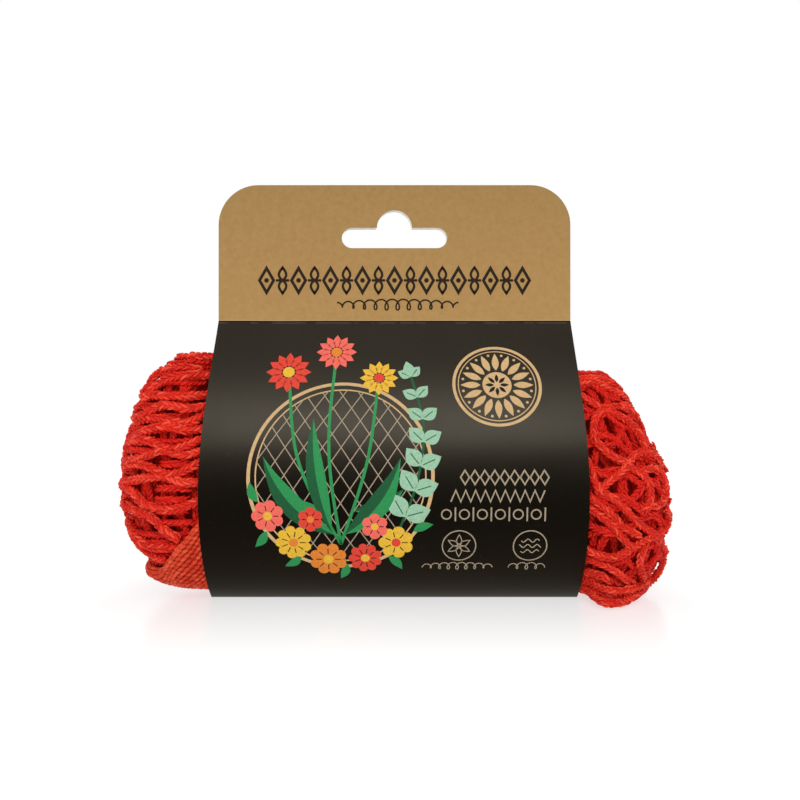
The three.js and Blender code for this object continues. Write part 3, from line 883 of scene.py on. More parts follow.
def draw_rows(sheet):
    """Three rows of simple ornament that end at the right margin."""
    start, s = LOZENGE_ROW
    pitch, places = spaced(start, RIGHT_MARGIN, count=9)
    for x in places:
        sheet.line("sand", 0, lozenge(x, s, half_width=pitch * 0.44, half_height=2.0), 0.42, closed=True)
    start, s = ZIGZAG_ROW
    x = np.arange(start, RIGHT_MARGIN, ZIGZAG_PITCH)
    swing = ZIGZAG_HALF_HEIGHT * np.where(np.arange(len(x)) % 2, -1, 1)
    sheet.line("sand", 0, np.column_stack([x, s + swing]), BOLD_LINE)
    start, s = BEAD_ROW
    for i, x in enumerate(spaced(start, RIGHT_MARGIN, count=12)[1]):
        if i % 2:
            sheet.line("sand", 0, [(x, s - 2.0), (x, s + 2.0)], BOLD_LINE)
        else:
            sheet.ring("sand", 0, (x, s), radius=1.35, width=0.40, steps=24)


def draw_icons(sheet):
    """Two small ringed ornaments, each over a short flourish."""
    flower, waves = ((x, ICON_HEIGHT) for x in ICON_PLACES)
    for centre in (flower, waves):
        sheet.ring("sand", 0, centre, ICON_RADIUS, width=0.34, steps=48)
    for angle in range(30, 360, 60):
        sheet.line("sand", 0, leaf(flower, angle, length=3.5, width=1.5), 0.27, closed=True)
    for step in (-1, 0, 1):
        half = 3.1 - 0.5 * abs(step)
        x = np.linspace(-half, half, 18)
        wave = np.column_stack([x, step * 1.7 + 0.5 * np.sin(x * 2.4)])
        sheet.line("sand", 0, waves + wave, width=0.30)
    for centre, half in ICON_FLOURISHES:
        draw_flourish(sheet, "sand", centre, half, height=1.25, width=FINE_LINE)


def draw_flourish(sheet, ink, centre, half, height, width):
    """A row of round loops that grow smaller towards both ends."""
    loops = round(half / height)
    t = np.linspace(-math.pi * loops, math.pi * loops, loops * 2 * HALF_LOOP_STEPS + 1)
    x = t / (math.pi * loops) * half
    swell = height * (1 - 0.6 * (x / half) ** 2)
    row = centre + np.column_stack([x - 0.75 * swell * np.sin(t), swell * np.cos(t)])
    for half_loop in range(2 * loops):
        first = half_loop * HALF_LOOP_STEPS
        sheet.line(ink, (half_loop % 2) * 0.4, row[first:first + HALF_LOOP_STEPS + 1], width)


def draw_header(sheet):
    """A frieze of lozenges and leaves over a flourish, in brown on the bare board."""
    s = FRIEZE_HEIGHT
    for i, x in enumerate(spaced(-FRIEZE_HALF_LENGTH, FRIEZE_HALF_LENGTH, count=17)[1]):
        if i % 2:
            for angle in (90, 270):
                outline = leaf((x, s), angle, length=4.0, width=2.3)
                sheet.line("brown", 0, outline, width=0.78, closed=True)
            sheet.line("brown", 0.5, [(x - 2.1, s), (x + 2.1, s)], width=0.78)
        else:
            outline = lozenge(x, s, half_width=2.2, half_height=3.8)
            sheet.line("brown", 0, outline, width=0.92, closed=True)
            sheet.fill("brown", 0, circle((x, s), radius=0.75, steps=14))
    draw_flourish(sheet, "brown", centre=(1.0, -5.0), half=19.0, height=1.7, width=0.5)


def card_print():
    sheet = Print()
    draw_trellis(sheet)
    draw_flowers(sheet)
    draw_mint_sprig(sheet)
    draw_garland(sheet)
    draw_emblem(sheet)
    draw_rows(sheet)
    draw_icons(sheet)
    draw_header(sheet)
    return [printed_piece(ink, fields) for ink, fields in sheet.fields.items()]


# ---------- knitted cord ----------

# One leg of a chain stitch, from under the stitch before it to under the stitch after it. Each row is
# [place along the cord in stitches, distance from the middle line, height over it, radius], the last
# three as shares of the cord's half-width. The first and last rows are the leg's tips.
STITCH_LEG = np.array([
    [-0.62, 0.02, 0.05, 0.00],
    [-0.38, 0.10, 0.33, 0.17],
    [0.00, 0.25, 0.50, 0.235],
    [0.42, 0.46, 0.45, 0.24],
    [0.84, 0.64, 0.20, 0.20],
    [1.10, 0.70, -0.05, 0.00],
])
STITCH_PITCH = 1.05
STITCH_JITTER = 0.05
LEG_SIDES = 5
CORE_SIDES = 8
# Half-width and half-height of a cord's core, as shares of the cord's half-width.
CORD_CORE = (0.66, 0.46)
# The place in STITCH_LEG round which a leg is mirrored, and the unevenness of its radius.
LEG_MIDDLE = 0.4
RADIUS_JITTER = 1.6
DENSE_STEPS = 30
PATH_SPACING = 0.5
HELD_SPACING = 0.02
TONES = 8
# Size of a cord's wobble to the side and up, and of its twist in radians, each with its wavelengths.
WOBBLE = (0.2, 9, 26)
TWIST = (1.0, 18, 60)
WANDER_WAVES = 3


def even_path(points, spacing):
    """Evenly spaced points along the smooth curve through the given points, and their places on it."""
    dense = through(points, np.linspace(0, 1, DENSE_STEPS * (len(points) - 1) + 1))
    length = run_length(dense)
    places = np.linspace(0, length[-1], max(4, round(length[-1] / spacing)) + 1)
    return read_off(places, length, dense), places


def directions(path, up):
    """Unit vectors along, across and out of paths whose tops face up."""
    along = unit(np.gradient(path, axis=-2))
    across = unit(np.cross(along, up))
    return along, across, np.cross(across, along)


def wander(rng, places, size, shortest, longest):
    """A smooth random offset along a cord."""
    total = np.zeros_like(places)
    for _ in range(WANDER_WAVES):
        wave = rng.uniform(shortest, longest)
        total = total + np.sin(places / wave * 2 * math.pi + rng.uniform(0, 2 * math.pi))
    return (total * size / WANDER_WAVES)[:, None]


class Yarn:
    """Collects closed tubes that end in points, and makes one piece of them."""

    def __init__(self, facing):
        """facing(points) gives the way in which the flat side of a cord faces."""
        self.facing = facing
        self.points = []
        self.faces = []
        self.uv = []
        self.count = 0

    def seeded(self, seed):
        self.rng = np.random.default_rng(seed)
        return self

    def add_tubes(self, centres, radii, up, sides, flatness=1.0, tones=0):
        """centres is (tubes, rows, 3) with a tip in the first and last row; up is the way their tops face.

        tones holds one whole number for each tube, from 0, dark, to TONES - 1, light."""
        tubes, rows = centres.shape[:2]
        _, across, top = directions(centres, up)
        angles = 2 * math.pi * np.arange(sides)[:, None] / sides
        rim = across[:, 1:-1, None] * np.cos(angles) + top[:, 1:-1, None] * flatness * np.sin(angles)
        rings = rim * radii[:, 1:-1, None, None] + centres[:, 1:-1, None]
        points = np.concatenate([centres[:, :1], rings.reshape(tubes, -1, 3), centres[:, -1:]], axis=1)

        # A corner is [point, row, side]. The whole first row is one point, and so is the whole last row.
        row, side = np.indices((rows, sides + 1))
        point = np.clip((row - 1) * sides + side % sides + 1, 0, points.shape[1] - 1)
        corners = np.stack([point, row, side], axis=-1)
        a, b, c, d = corners[:-1, :-1], corners[:-1, 1:], corners[1:, 1:], corners[1:, :-1]
        triangles = np.concatenate([np.stack(three, axis=-2).reshape(-1, 3, 3) for three in (
            (a[:-1], c[:-1], d[:-1]), (a[1:-1], b[1:-1], c[1:-1]), (a[-1:], b[-1:], d[-1:]),
        )])
        point, row, side = np.moveaxis(triangles, -1, 0)
        around = side / sides + 2 * np.reshape(tones, (-1, 1, 1))
        uv = np.stack(np.broadcast_arrays(run_length(centres)[:, row], around), axis=-1)
        first = self.count + np.arange(tubes)[:, None, None] * points.shape[1]
        self.points.append(points.reshape(-1, 3))
        self.faces.append((point + first).reshape(-1, 3))
        self.uv.append(uv.reshape(-1, 2))
        self.count += tubes * points.shape[1]

    def add_stitches(self, places, frame, place, aside, rise, radii, sides):
        """Adds tubes in a row along a path, each with a random tone.

        frame holds the path's points and its directions along, across and out of it, at some places.
        place, aside and rise are (tubes, rows): places on the path, distances across and out of it."""
        place = np.clip(place, 0, places[-1])
        middle, along, across, top = (read_off(place, places, values) for values in frame)
        centres = middle + across * aside[..., None] + top * rise[..., None]
        # Points that were held at the path's end are spread, so that no two of them meet.
        held = (place <= 0) | (place >= places[-1])
        centres = centres + (held * np.arange(place.shape[1]) * HELD_SPACING)[..., None] * along
        self.add_tubes(centres, radii, top, sides, tones=self.rng.integers(0, TONES, len(place)))

    def add_cord(self, points, half_width, both_faces=True):
        """Adds a cord of chain stitches along a route."""
        rng = self.rng
        path, places = even_path(points, PATH_SPACING)
        along, across, top = directions(path, self.facing(path))
        path = path + across * wander(rng, places, *WOBBLE)
        path = path + top * wander(rng, places, *WOBBLE)
        turn = wander(rng, places, *TWIST)
        across, top = across * np.cos(turn) + top * np.sin(turn), top * np.cos(turn) - across * np.sin(turn)
        length = places[-1]
        stitches = max(2, round(length / (STITCH_PITCH * half_width)))
        way = rng.choice((-1, 1))
        for face in (1, -1) if both_faces else (1,):
            for side in (-1, 1):
                shift = rng.normal(0, STITCH_JITTER, (4, stitches, 1))
                number = np.arange(stitches)[:, None] + (0.5 if face < 0 else 0)
                place = (number + 0.5 + way * (STITCH_LEG[:, 0] - LEG_MIDDLE) + shift[0]) * length / stitches
                aside = side * (STITCH_LEG[:, 1] + shift[1]) * half_width
                rise = face * (STITCH_LEG[:, 2] + shift[2]) * half_width
                radii = STITCH_LEG[:, 3] * (1 + RADIUS_JITTER * shift[3]) * half_width
                self.add_stitches(places, (path, along, across, top), place, aside, rise, radii, LEG_SIDES)
        place = np.linspace(0, length, max(4, stitches + 1))
        centres, up = (read_off(place, places, values)[None] for values in (path, top))
        radii = np.full(centres.shape[:2], CORD_CORE[0] * half_width)
        self.add_tubes(centres, radii, up, CORE_SIDES, CORD_CORE[1] / CORD_CORE[0])

    def piece(self, name, material):
        points, faces, uv = (np.concatenate(parts) for parts in (self.points, self.faces, self.uv))
        return mesh_object(name, points, faces, [material], uv)


# ---------- the net ----------

# Routes on the front of the left lobe, as [x, z] points from the sleeve's edge to the bundle's end.
# These cords lie nearly level and then pass round the end to the back.
LEFT_CORDS = [
    [(-55, 72.6), (-60, 72.8), (-66, 72.3)],
    [(-58, 68.5), (-63, 69), (-69.5, 68), (-72.5, 65.5), (-74, 62.5)],
    [(-54.5, 66.5), (-60, 67), (-66, 65.5), (-70, 63), (-73, 60.5)],
    [(-54.5, 61), (-60, 60.5), (-66, 60.5), (-72, 60.5), (-76, 57)],
    [(-54.5, 57.5), (-60, 57), (-66, 58), (-70, 56.5), (-77, 54)],
    [(-54.5, 55), (-60, 52.8), (-65, 53.8), (-73, 53.6), (-78.5, 51)],
    [(-54.5, 51), (-60.5, 51), (-65, 52), (-73, 50), (-80.5, 47.5)],
    [(-54.5, 48.5), (-58, 47), (-62.5, 45.2), (-68, 47.2), (-73, 48.2), (-80, 46)],
    [(-54.5, 45), (-60, 43.6), (-65, 45.2), (-71, 43.6), (-80, 41)],
    [(-54.5, 41.5), (-59, 39.8), (-64, 38.3), (-71, 40.6), (-80.5, 39.6)],
    [(-54.5, 36), (-60, 36), (-65, 37.8), (-71, 37.2), (-81, 34.6)],
    [(-54.5, 31), (-60, 29), (-66, 28.4), (-71, 29.6), (-76, 33), (-81, 34)],
    [(-61, 19.5), (-65, 22), (-69, 25.7), (-74, 27.2), (-81, 28)],
    [(-59, 18), (-65, 16.8), (-71, 17), (-76, 20), (-81, 23)],
    [(-65, 13), (-70, 13.6), (-74, 16.2), (-79, 19.5)],
]

# One more cord runs down the end of the left lobe, as [turn, z, depth] points.
END_CORD = [
    (0.02, 54, 1.8), (-0.06, 49, 1.0), (-0.09, 42, 1.0), (-0.04, 35, 1.1), (-0.08, 28, 1.3),
    (-0.12, 21, 2.0), (-0.17, 16, 3.8),
]

# On the right lobe the cords form open diamonds; each runs from one knot to the next.
RIGHT_CORDS = [
    [(55, 67.4), (60, 67.4), (66, 67), (70, 64)],
    [(55, 66), (61, 66), (67, 64), (71, 61.5)],
    [(55, 64.4), (61, 64.6), (67, 61.5), (71, 59)],
    [(55, 61), (61, 57), (66, 57.5), (72, 57.5)],
    [(61, 57), (58.6, 53.5), (57.5, 48.5)],
    [(61, 57), (67, 54.4), (71.5, 51), (73.5, 47), (74, 43.5)],
    [(67, 58), (72, 55.5), (76, 51.5), (79, 46), (80, 40)],
    [(57.5, 48.5), (61.5, 44), (67, 41)],
    [(67, 41), (70, 43.6), (74, 44.2), (79, 41)],
    [(67, 41), (72, 37), (73.5, 32), (72, 28)],
    [(55, 42), (56.5, 38), (58, 33.7)],
    [(58, 33.7), (62, 37), (67, 41)],
    [(58, 33.7), (64, 30), (70, 24), (76, 20)],
    [(55.5, 31.5), (60, 28.5), (65, 23.5), (70, 20.5)],
    [(55, 29), (61, 24.5), (65, 20), (68, 17.5)],
    [(76, 20), (71.5, 19), (68, 17.5)],
    [(68, 17.5), (62, 14.6), (55, 16.5)],
    [(70.5, 38.5), (76, 39.5), (80, 35), (78, 29.5), (72, 29)],
    [(80, 28), (82, 23), (76, 20)],
    [(76, 20), (81, 14), (81.5, 9), (78, 4)],
    [(72, 19), (70.5, 13), (73, 7)],
    [(55, 13.5), (62, 11.4), (68, 7), (75, 3.5)],
    [(55, 9), (60, 9), (64, 5.5)],
]

# Loose loops lie on and near the ground under the right lobe, as [x, y, z] points.
GROUND_LOOPS = [
    [(56, -12.5, 8.5), (62, -14.5, 7.6), (69, -12, 7.4), (75, -7, 7.5)],
    [(56, -12.5, 6.4), (63, -14.2, 6.0), (69, -11.5, 5.9), (76, -4, 6.2)],
    [(56, -12, 5), (63, -14, 4.4), (70, -10.5, 4.4), (76, -4, 4.6)],
    [(56, -9, 2.5), (62, -13.5, 2.2), (68, -11, 2.3), (74, -5, 2.6)],
    [(55.5, -11, 3.2), (59.5, -18.5, 2.2), (63, -18.5, 2), (69, -14.5, 2.2), (76, -7, 3.2)],
    [(55.6, -15, 6), (62, -17.5, 5), (69, -14.5, 4.6), (75, -9, 4.8), (79, -1, 4.5)],
    [(73, -13, 20), (79, -9, 15.5), (82.5, -4, 9.5), (81, -2, 5), (77, -5, 3)],
    [(56, -11, 4), (61, -15.8, 3.4), (67, -14.6, 3.2), (73, -9, 3.2), (78, -2, 3)],
    [(56, -2, 2.3), (64, -3, 2.1), (72, -2.5, 2.2), (79, -1, 4.5)],
    [(56, 4, 2.6), (64, 6, 2.2), (72, 4, 2.4), (79, 2, 4.5)],
    [(56, 9, 4.2), (63, 12, 3.4), (71, 10, 3.4), (78, 5, 5.5)],
]

# On the back of both lobes each cord is a wave, and neighbours swing opposite ways.
WAVE_STATIONS = 7
HALF_WAVES = 3
LEFT_BACK_TOP = 68
LEFT_BACK_STEP = 4.35
LEFT_WAVE = 1.1
RIGHT_BACK_CORDS = 8
RIGHT_BACK_BOTTOM = 5
RIGHT_BACK_TOP = 62
RIGHT_WAVE = 4.2
RIGHT_BACK_START = -0.2

# Routes that end at the sleeve reach into it, and those that end at a knot dive under it.
SLEEVE_TUCK = 4.0
EDGE_REACH = 0.7
EDGE_CLEARANCE = 1.2
DIVE_LENGTH = 1.2
DIVE_DEPTH = 2.4

# Level cords of the left lobe's next layer. Over a stretch of heights they leave a window open.
FILLER_HEIGHTS = np.arange(5.0, 73.5, 3.3)
FILLER_TURNS = (-0.97, 0.80)
FILLER_OPEN = (22, 42)
OPEN_TURNS = (-0.74, -0.38)
FILLER_STATIONS = 14
FILLER_DEPTH = 2.5
FILLER_SINK = 1.4
FILLER_SAG = 0.7
# Spread of a filler cord's random place, in turns and in height.
FILLER_JITTER = (0.02, 0.3)

# The right lobe's next layer is a mesh of waves.
MESH_FLOOR = 3.6
MESH_TOP = 66.0
MESH_HEIGHTS = np.arange(4.0, MESH_TOP, 4.1)
MESH_STATIONS = 22
MESH_SWING = 3.0
MESH_WAVES = 7
MESH_DEPTH = 2.9
MESH_SWING_SHARES = (0.8, 1.2)
MESH_HEIGHT_JITTER = 0.4
MESH_DEPTH_JITTER = 0.3

# Layers of net under these: seed, depth under the lobe's surface, number of cords, and their lean over
# the full height and the size of their swing, both in turns.
INNER_LAYERS = [(21, 4.2, 19, 0.16, 0.035), (22, 6.0, 21, -0.30, 0.05)]
INNER_STATIONS = 12

# Rough bodies of packed net lie in the lobes and in the sleeve. A lobe's body goes on into the sleeve.
CORE_DEPTH = 6.8
CORE_ROUGHNESS = 0.8
CORE_GRID = (40, 64)
CORE_TURNS = 1.35
CORE_STRETCH = 40.0
MIDDLE_HALF_LENGTH = 52.0
MIDDLE_HEIGHTS = np.linspace(1.4, 77.0, 30)
MIDDLE_COLUMNS = 40

# Cords that cross the sleeve's mouths.
MOUTH_HEIGHTS = np.arange(46.0, 78.0, 3.1)
MOUTH_PLACE = 52.6
MOUTH_STAGGER = 0.9
MOUTH_BOW = 2.0
MOUTH_SWING = 0.8
MOUTH_WAVES = 2.2
MOUTH_STATIONS = 9


def tucked(points, lobe):
    """Lengthens a route at each end that lies at the sleeve's edge, so that it reaches into the sleeve."""
    points = np.asarray(points, float)
    into = np.array([-lobe.side * SLEEVE_TUCK, 0, 0])
    starts, ends = np.abs(points[[0, -1], 0]) < HALF_CARD + EDGE_REACH
    if starts:
        points = np.vstack([points[0] + into, points])
    if ends:
        points = np.vstack([points, points[-1] + into])
    limit = np.maximum(0, mouth_half_depth(points[:, 2]) - CORD_RADIUS)
    near = np.abs(points[:, 0]) < HALF_CARD + EDGE_CLEARANCE
    points[:, 1] = np.where(near, np.clip(points[:, 1], -limit, limit), points[:, 1])
    return points


def front_route(lobe, route):
    x, z = np.array(route, float).T
    return lobe_point(lobe, turn_at(lobe, x, z), z, CORD_RADIUS)


def sunk_end(points, lobe):
    """Lengthens a route at its far end, so that the cord dives under the cords around it."""
    onward = unit(points[-1] - points[-2]) * DIVE_LENGTH
    return np.vstack([points, points[-1] + onward - outward(lobe, points[-1]) * DIVE_DEPTH])


def wave_route(lobe, start_z, finish_z, phase, wave, start_turn):
    """A cord that goes on round the end and over the back, in waves that meet the cords beside it."""
    share = np.linspace(0, 1, WAVE_STATIONS + 1)
    settle = np.sin(math.pi * np.minimum(0.5, share * 1.5))
    swing = wave * settle * np.sin(math.pi * HALF_WAVES * share + phase)
    z = mix(start_z, finish_z, smooth(share)) + swing
    return lobe_point(lobe, mix(start_turn, 1, share), z, CORD_RADIUS)


def lobe_yarn(lobe):
    return Yarn(lambda points: outward(lobe, points))


def left_outer_cords(material):
    yarn = lobe_yarn(LEFT_LOBE).seeded(3)
    for index, route in enumerate(LEFT_CORDS):
        back_z = LEFT_BACK_TOP - LEFT_BACK_STEP * index
        start_turn = turn_at(LEFT_LOBE, *route[-1])
        back = wave_route(LEFT_LOBE, route[-1][1], back_z, math.pi * index, LEFT_WAVE, start_turn)
        points = np.vstack([front_route(LEFT_LOBE, route), back[1:]])
        yarn.add_cord(tucked(points, LEFT_LOBE), LEFT_HALF_WIDTH)
    yarn.add_cord(lobe_point(LEFT_LOBE, *np.array(END_CORD).T), LEFT_HALF_WIDTH)
    return yarn.piece("net_left_outer", material)


def left_filler_cords(material):
    """Level cords that lie a little deeper and close the gaps between the outer cords."""
    yarn = lobe_yarn(LEFT_LOBE).seeded(6)
    share = np.linspace(0, 1, FILLER_STATIONS)
    depth = FILLER_DEPTH + FILLER_SINK * np.abs(2 * share - 1) ** 4
    for height in FILLER_HEIGHTS:
        stretches = [FILLER_TURNS]
        if FILLER_OPEN[0] < height < FILLER_OPEN[1]:
            stretches = [(FILLER_TURNS[0], OPEN_TURNS[0]), (OPEN_TURNS[1], FILLER_TURNS[1])]
        for start, finish in stretches:
            turn = mix(start, finish, share) + yarn.rng.normal(0, FILLER_JITTER[0])
            z = height + yarn.rng.normal(0, FILLER_JITTER[1]) - FILLER_SAG * (turn - start)
            points = lobe_point(LEFT_LOBE, np.clip(turn, -1, 1), z, depth)
            yarn.add_cord(points, INNER_HALF_WIDTH, both_faces=False)
    return yarn.piece("net_left_filler", material)


def right_filler_cords(material):
    """A mesh of crossing cords that lies a little deeper in the right lobe."""
    yarn = lobe_yarn(RIGHT_LOBE).seeded(8)
    share = np.linspace(0, 1, MESH_STATIONS)
    for row, height in enumerate(MESH_HEIGHTS):
        swing = MESH_SWING * np.sin(math.pi * (MESH_WAVES * share + row))
        swing = swing * yarn.rng.uniform(*MESH_SWING_SHARES)
        z = np.clip(height + swing + yarn.rng.normal(0, MESH_HEIGHT_JITTER), MESH_FLOOR, MESH_TOP)
        depth = MESH_DEPTH + yarn.rng.uniform(-MESH_DEPTH_JITTER, MESH_DEPTH_JITTER)
        points = tucked(lobe_point(RIGHT_LOBE, mix(-1, 1, share), z, depth), RIGHT_LOBE)
        yarn.add_cord(points, INNER_HALF_WIDTH, both_faces=False)
    return yarn.piece("net_right_filler", material)


def right_outer_cords(material):
    routes = [sunk_end(front_route(RIGHT_LOBE, route), RIGHT_LOBE) for route in RIGHT_CORDS]
    for i, z in enumerate(np.linspace(RIGHT_BACK_BOTTOM, RIGHT_BACK_TOP, RIGHT_BACK_CORDS)):
        routes.append(wave_route(RIGHT_LOBE, z, z, math.pi * i, RIGHT_WAVE, RIGHT_BACK_START))
    yarn = lobe_yarn(RIGHT_LOBE).seeded(4)
    for points in routes + GROUND_LOOPS:
        yarn.add_cord(tucked(points, RIGHT_LOBE), RIGHT_HALF_WIDTH)
    return yarn.piece("net_right_outer", material)


def inner_cords(name, lobe, material):
    """The layers of net that show through the gaps between the outer cords."""
    yarn = lobe_yarn(lobe)
    rise = np.linspace(0, 1, INNER_STATIONS)
    for seed, depth, cords, lean, swing in INNER_LAYERS:
        yarn.seeded(seed + lobe.side)
        z = height_inside(lobe, rise, depth + 1)
        for i in range(cords):
            turn = mix(-1, 1, (i + 0.5) / cords) + lean * (rise - 0.5)
            turn = turn + swing * np.sin(rise * 3 * math.pi + math.pi * i)
            points = lobe_point(lobe, np.clip(turn, -1, 1), z, depth)
            yarn.add_cord(points, INNER_HALF_WIDTH, both_faces=False)
    return yarn.piece(name, material)


def net_core(name, lobe, material):
    """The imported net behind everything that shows, as a rough rounded body."""
    rows, columns = CORE_GRID
    turn = np.linspace(-CORE_TURNS, CORE_TURNS, columns)
    z = height_inside(lobe, np.linspace(0.002, 0.998, rows), CORE_DEPTH)
    grid = lobe_point(lobe, np.clip(turn, -1, 1)[None, :], z[:, None], CORE_DEPTH)
    grid[..., 0] -= (np.abs(turn) - 1).clip(0) * lobe.side * CORE_STRETCH
    relief = ripples(grid, seed=31, count=6, spread=0.55) * CORE_ROUGHNESS
    return capped_tube(name, grid + outward(lobe, grid) * relief[..., None], material)


def net_middle(material):
    """The part of the bundle inside the sleeve, as a rough body that fills the sleeve's section."""
    half = mouth_half_depth(MIDDLE_HEIGHTS)
    section = np.vstack([
        np.column_stack([-half, MIDDLE_HEIGHTS]), np.column_stack([half, MIDDLE_HEIGHTS])[::-1],
    ])
    grid = np.zeros((MIDDLE_COLUMNS, len(section), 3))
    grid[..., 0] = np.linspace(-MIDDLE_HALF_LENGTH, MIDDLE_HALF_LENGTH, MIDDLE_COLUMNS)[:, None]
    grid[..., 1:] = section
    sink = (ripples(grid, seed=32, count=5, spread=0.7) + 1) / 2
    grid[..., 1] -= np.sign(grid[..., 1]) * sink * np.minimum(1, np.abs(grid[..., 1]))
    return capped_tube("net_middle", grid, material)


def mouth_cords(material):
    """Cords that cross the sleeve's mouths from front to back above and behind the lobes, facing out."""
    yarn = Yarn(lambda points: np.sign(points) * (1, 0, 0)).seeded(9)
    across = np.linspace(-1, 1, MOUTH_STATIONS)
    for side in (-1, 1):
        for i, height in enumerate(MOUTH_HEIGHTS):
            x = side * (MOUTH_PLACE + MOUTH_STAGGER * (i % 2) - MOUTH_BOW * across ** 4)
            y = across * (mouth_half_depth(height) - INNER_HALF_WIDTH)
            z = height + MOUTH_SWING * np.sin(math.pi * (MOUTH_WAVES * across + i))
            yarn.add_cord(np.column_stack([x, y, z]), INNER_HALF_WIDTH)
    return yarn.piece("net_mouth", material)


def cotton_material(name, shade, base, light, ply_pitch=0.85):
    """Matt cotton yarn: each strand has its own tone, with patches along the cord and a twist of plies."""
    paint = new_paint(name)
    along = paint.split(paint.add("UVMap", uv_map="along").outputs["UV"])
    tone = paint.math("DIVIDE", paint.math("FLOOR", paint.times(along["Y"], 0.5)), TONES - 1)
    patch = paint.noise(scale=420, detail=3, roughness=0.6)
    fibre = paint.noise(scale=2600, detail=3, roughness=0.7)
    factor = paint.plus(paint.times(tone, 0.45), paint.times(patch, 0.55))
    colour = paint.ramp(factor, [(0.22, shade), (0.50, base), (0.74, light)])
    twist = paint.times(along["X"], 2 * math.pi / ply_pitch)
    ply = paint.math("SINE", paint.plus(twist, paint.times(along["Y"], 3 * 2 * math.pi)))
    return paint.finish({
        "Base Color": paint.blend(paint.times(fibre, 0.30), colour, light),
        "Normal": paint.bump(paint.plus(paint.times(ply, 0.5), fibre), strength=0.45, distance=0.06),
        "Roughness": 0.62,
        "Specular IOR Level": 0.28,
        "Sheen Weight": 0.05,
        "Sheen Roughness": 0.5,
        "Sheen Tint": (1.0, 0.30, 0.20),
    })


# ---------- handle strap ----------

# The strap comes out of the sleeve's front, goes under the lobe's lower corner and in at the back.
# Its two edges, as [x, y, z] points near the lobe's surface.
STRAP_UPPER_EDGE = [
    (-52, -17.5, 30), (-57, -17.8, 22.5), (-62, -16.8, 16.5), (-66.8, -13.3, 10.9),
    (-71.5, -10.5, 9.6), (-77, -1, 8.5), (-73, 9, 9), (-66, 14, 10), (-58, 16.5, 12), (-52, 16.5, 14),
]
STRAP_LOWER_EDGE = [
    (-52, -6, 1.2), (-56, -4, 0.6), (-59.5, -2.5, 0.3), (-62, -1.5, 0.3), (-63.5, -0.5, 0.3),
    (-64, 1, 0.3), (-62.5, 3, 0.3), (-60, 4.5, 0.4), (-56, 6, 0.8), (-52, 7, 1.2),
]
STRAP_THICKNESS = 2.4
STRAP_INSET = 0.2
STRAP_CENTRE_OFFSET = 6
STRAP_POWER = 3.4
STRAP_BASE_DEPTH = 0.80
STRAP_STATIONS = 60

# The strap's ribs are rows of grains. Each row of GRAIN is [place along the rib as a share of the
# grain's length, place across it as a share of its slant, height and radius as shares of its radius].
RIB_PITCH = 1.65
RIB_LIMIT = 0.985
RIB_DEPTH = 0.70
RIB_SPACING = 0.4
LIP_RIBS = 6
RIM_SPREAD = 0.35
GRAIN = np.array([
    [-0.50, -0.50, -0.90, 0.00],
    [-0.36, -0.36, -0.10, 0.66],
    [-0.12, -0.12, 0.20, 1.00],
    [0.14, 0.14, 0.20, 1.00],
    [0.37, 0.37, -0.10, 0.66],
    [0.50, 0.50, -0.90, 0.00],
])
GRAIN_PITCH = 1.5
GRAIN_LENGTH = 2.0
GRAIN_SLANT = 0.70
GRAIN_RADIUS = 0.60
GRAIN_SIDES = 6
# Spread of a grain's random place along its rib, as a share of its length, and across it.
GRAIN_JITTER = (0.06, 0.05)


def onto_left_lobe(points, inset):
    """Moves points along the line from the lobe's middle until they are at a depth under its surface."""
    lobe = LEFT_LOBE
    centre = np.array([-HALF_CARD + STRAP_CENTRE_OFFSET, 0, lobe.middle])
    size = np.array([lobe.reach + STRAP_CENTRE_OFFSET, lobe.half_depth, lobe.down]) - inset
    ray = points - centre
    total = (np.abs(ray / size) ** STRAP_POWER).sum(axis=-1, keepdims=True)
    moved = centre + ray * total ** (-1 / STRAP_POWER)
    out = np.maximum(0, -moved[..., 0] - HALF_CARD)
    moved[..., 1] = squeeze(moved[..., 1], out, moved[..., 2], inset)
    return moved


def strap_point(along, across, inset):
    along, across = np.broadcast_arrays(along, across)
    upper, lower = (through(edge, along.ravel()) for edge in (STRAP_UPPER_EDGE, STRAP_LOWER_EDGE))
    points = mix(upper, lower, across.reshape(-1, 1))
    return onto_left_lobe(points, inset + STRAP_INSET).reshape(*along.shape, 3)


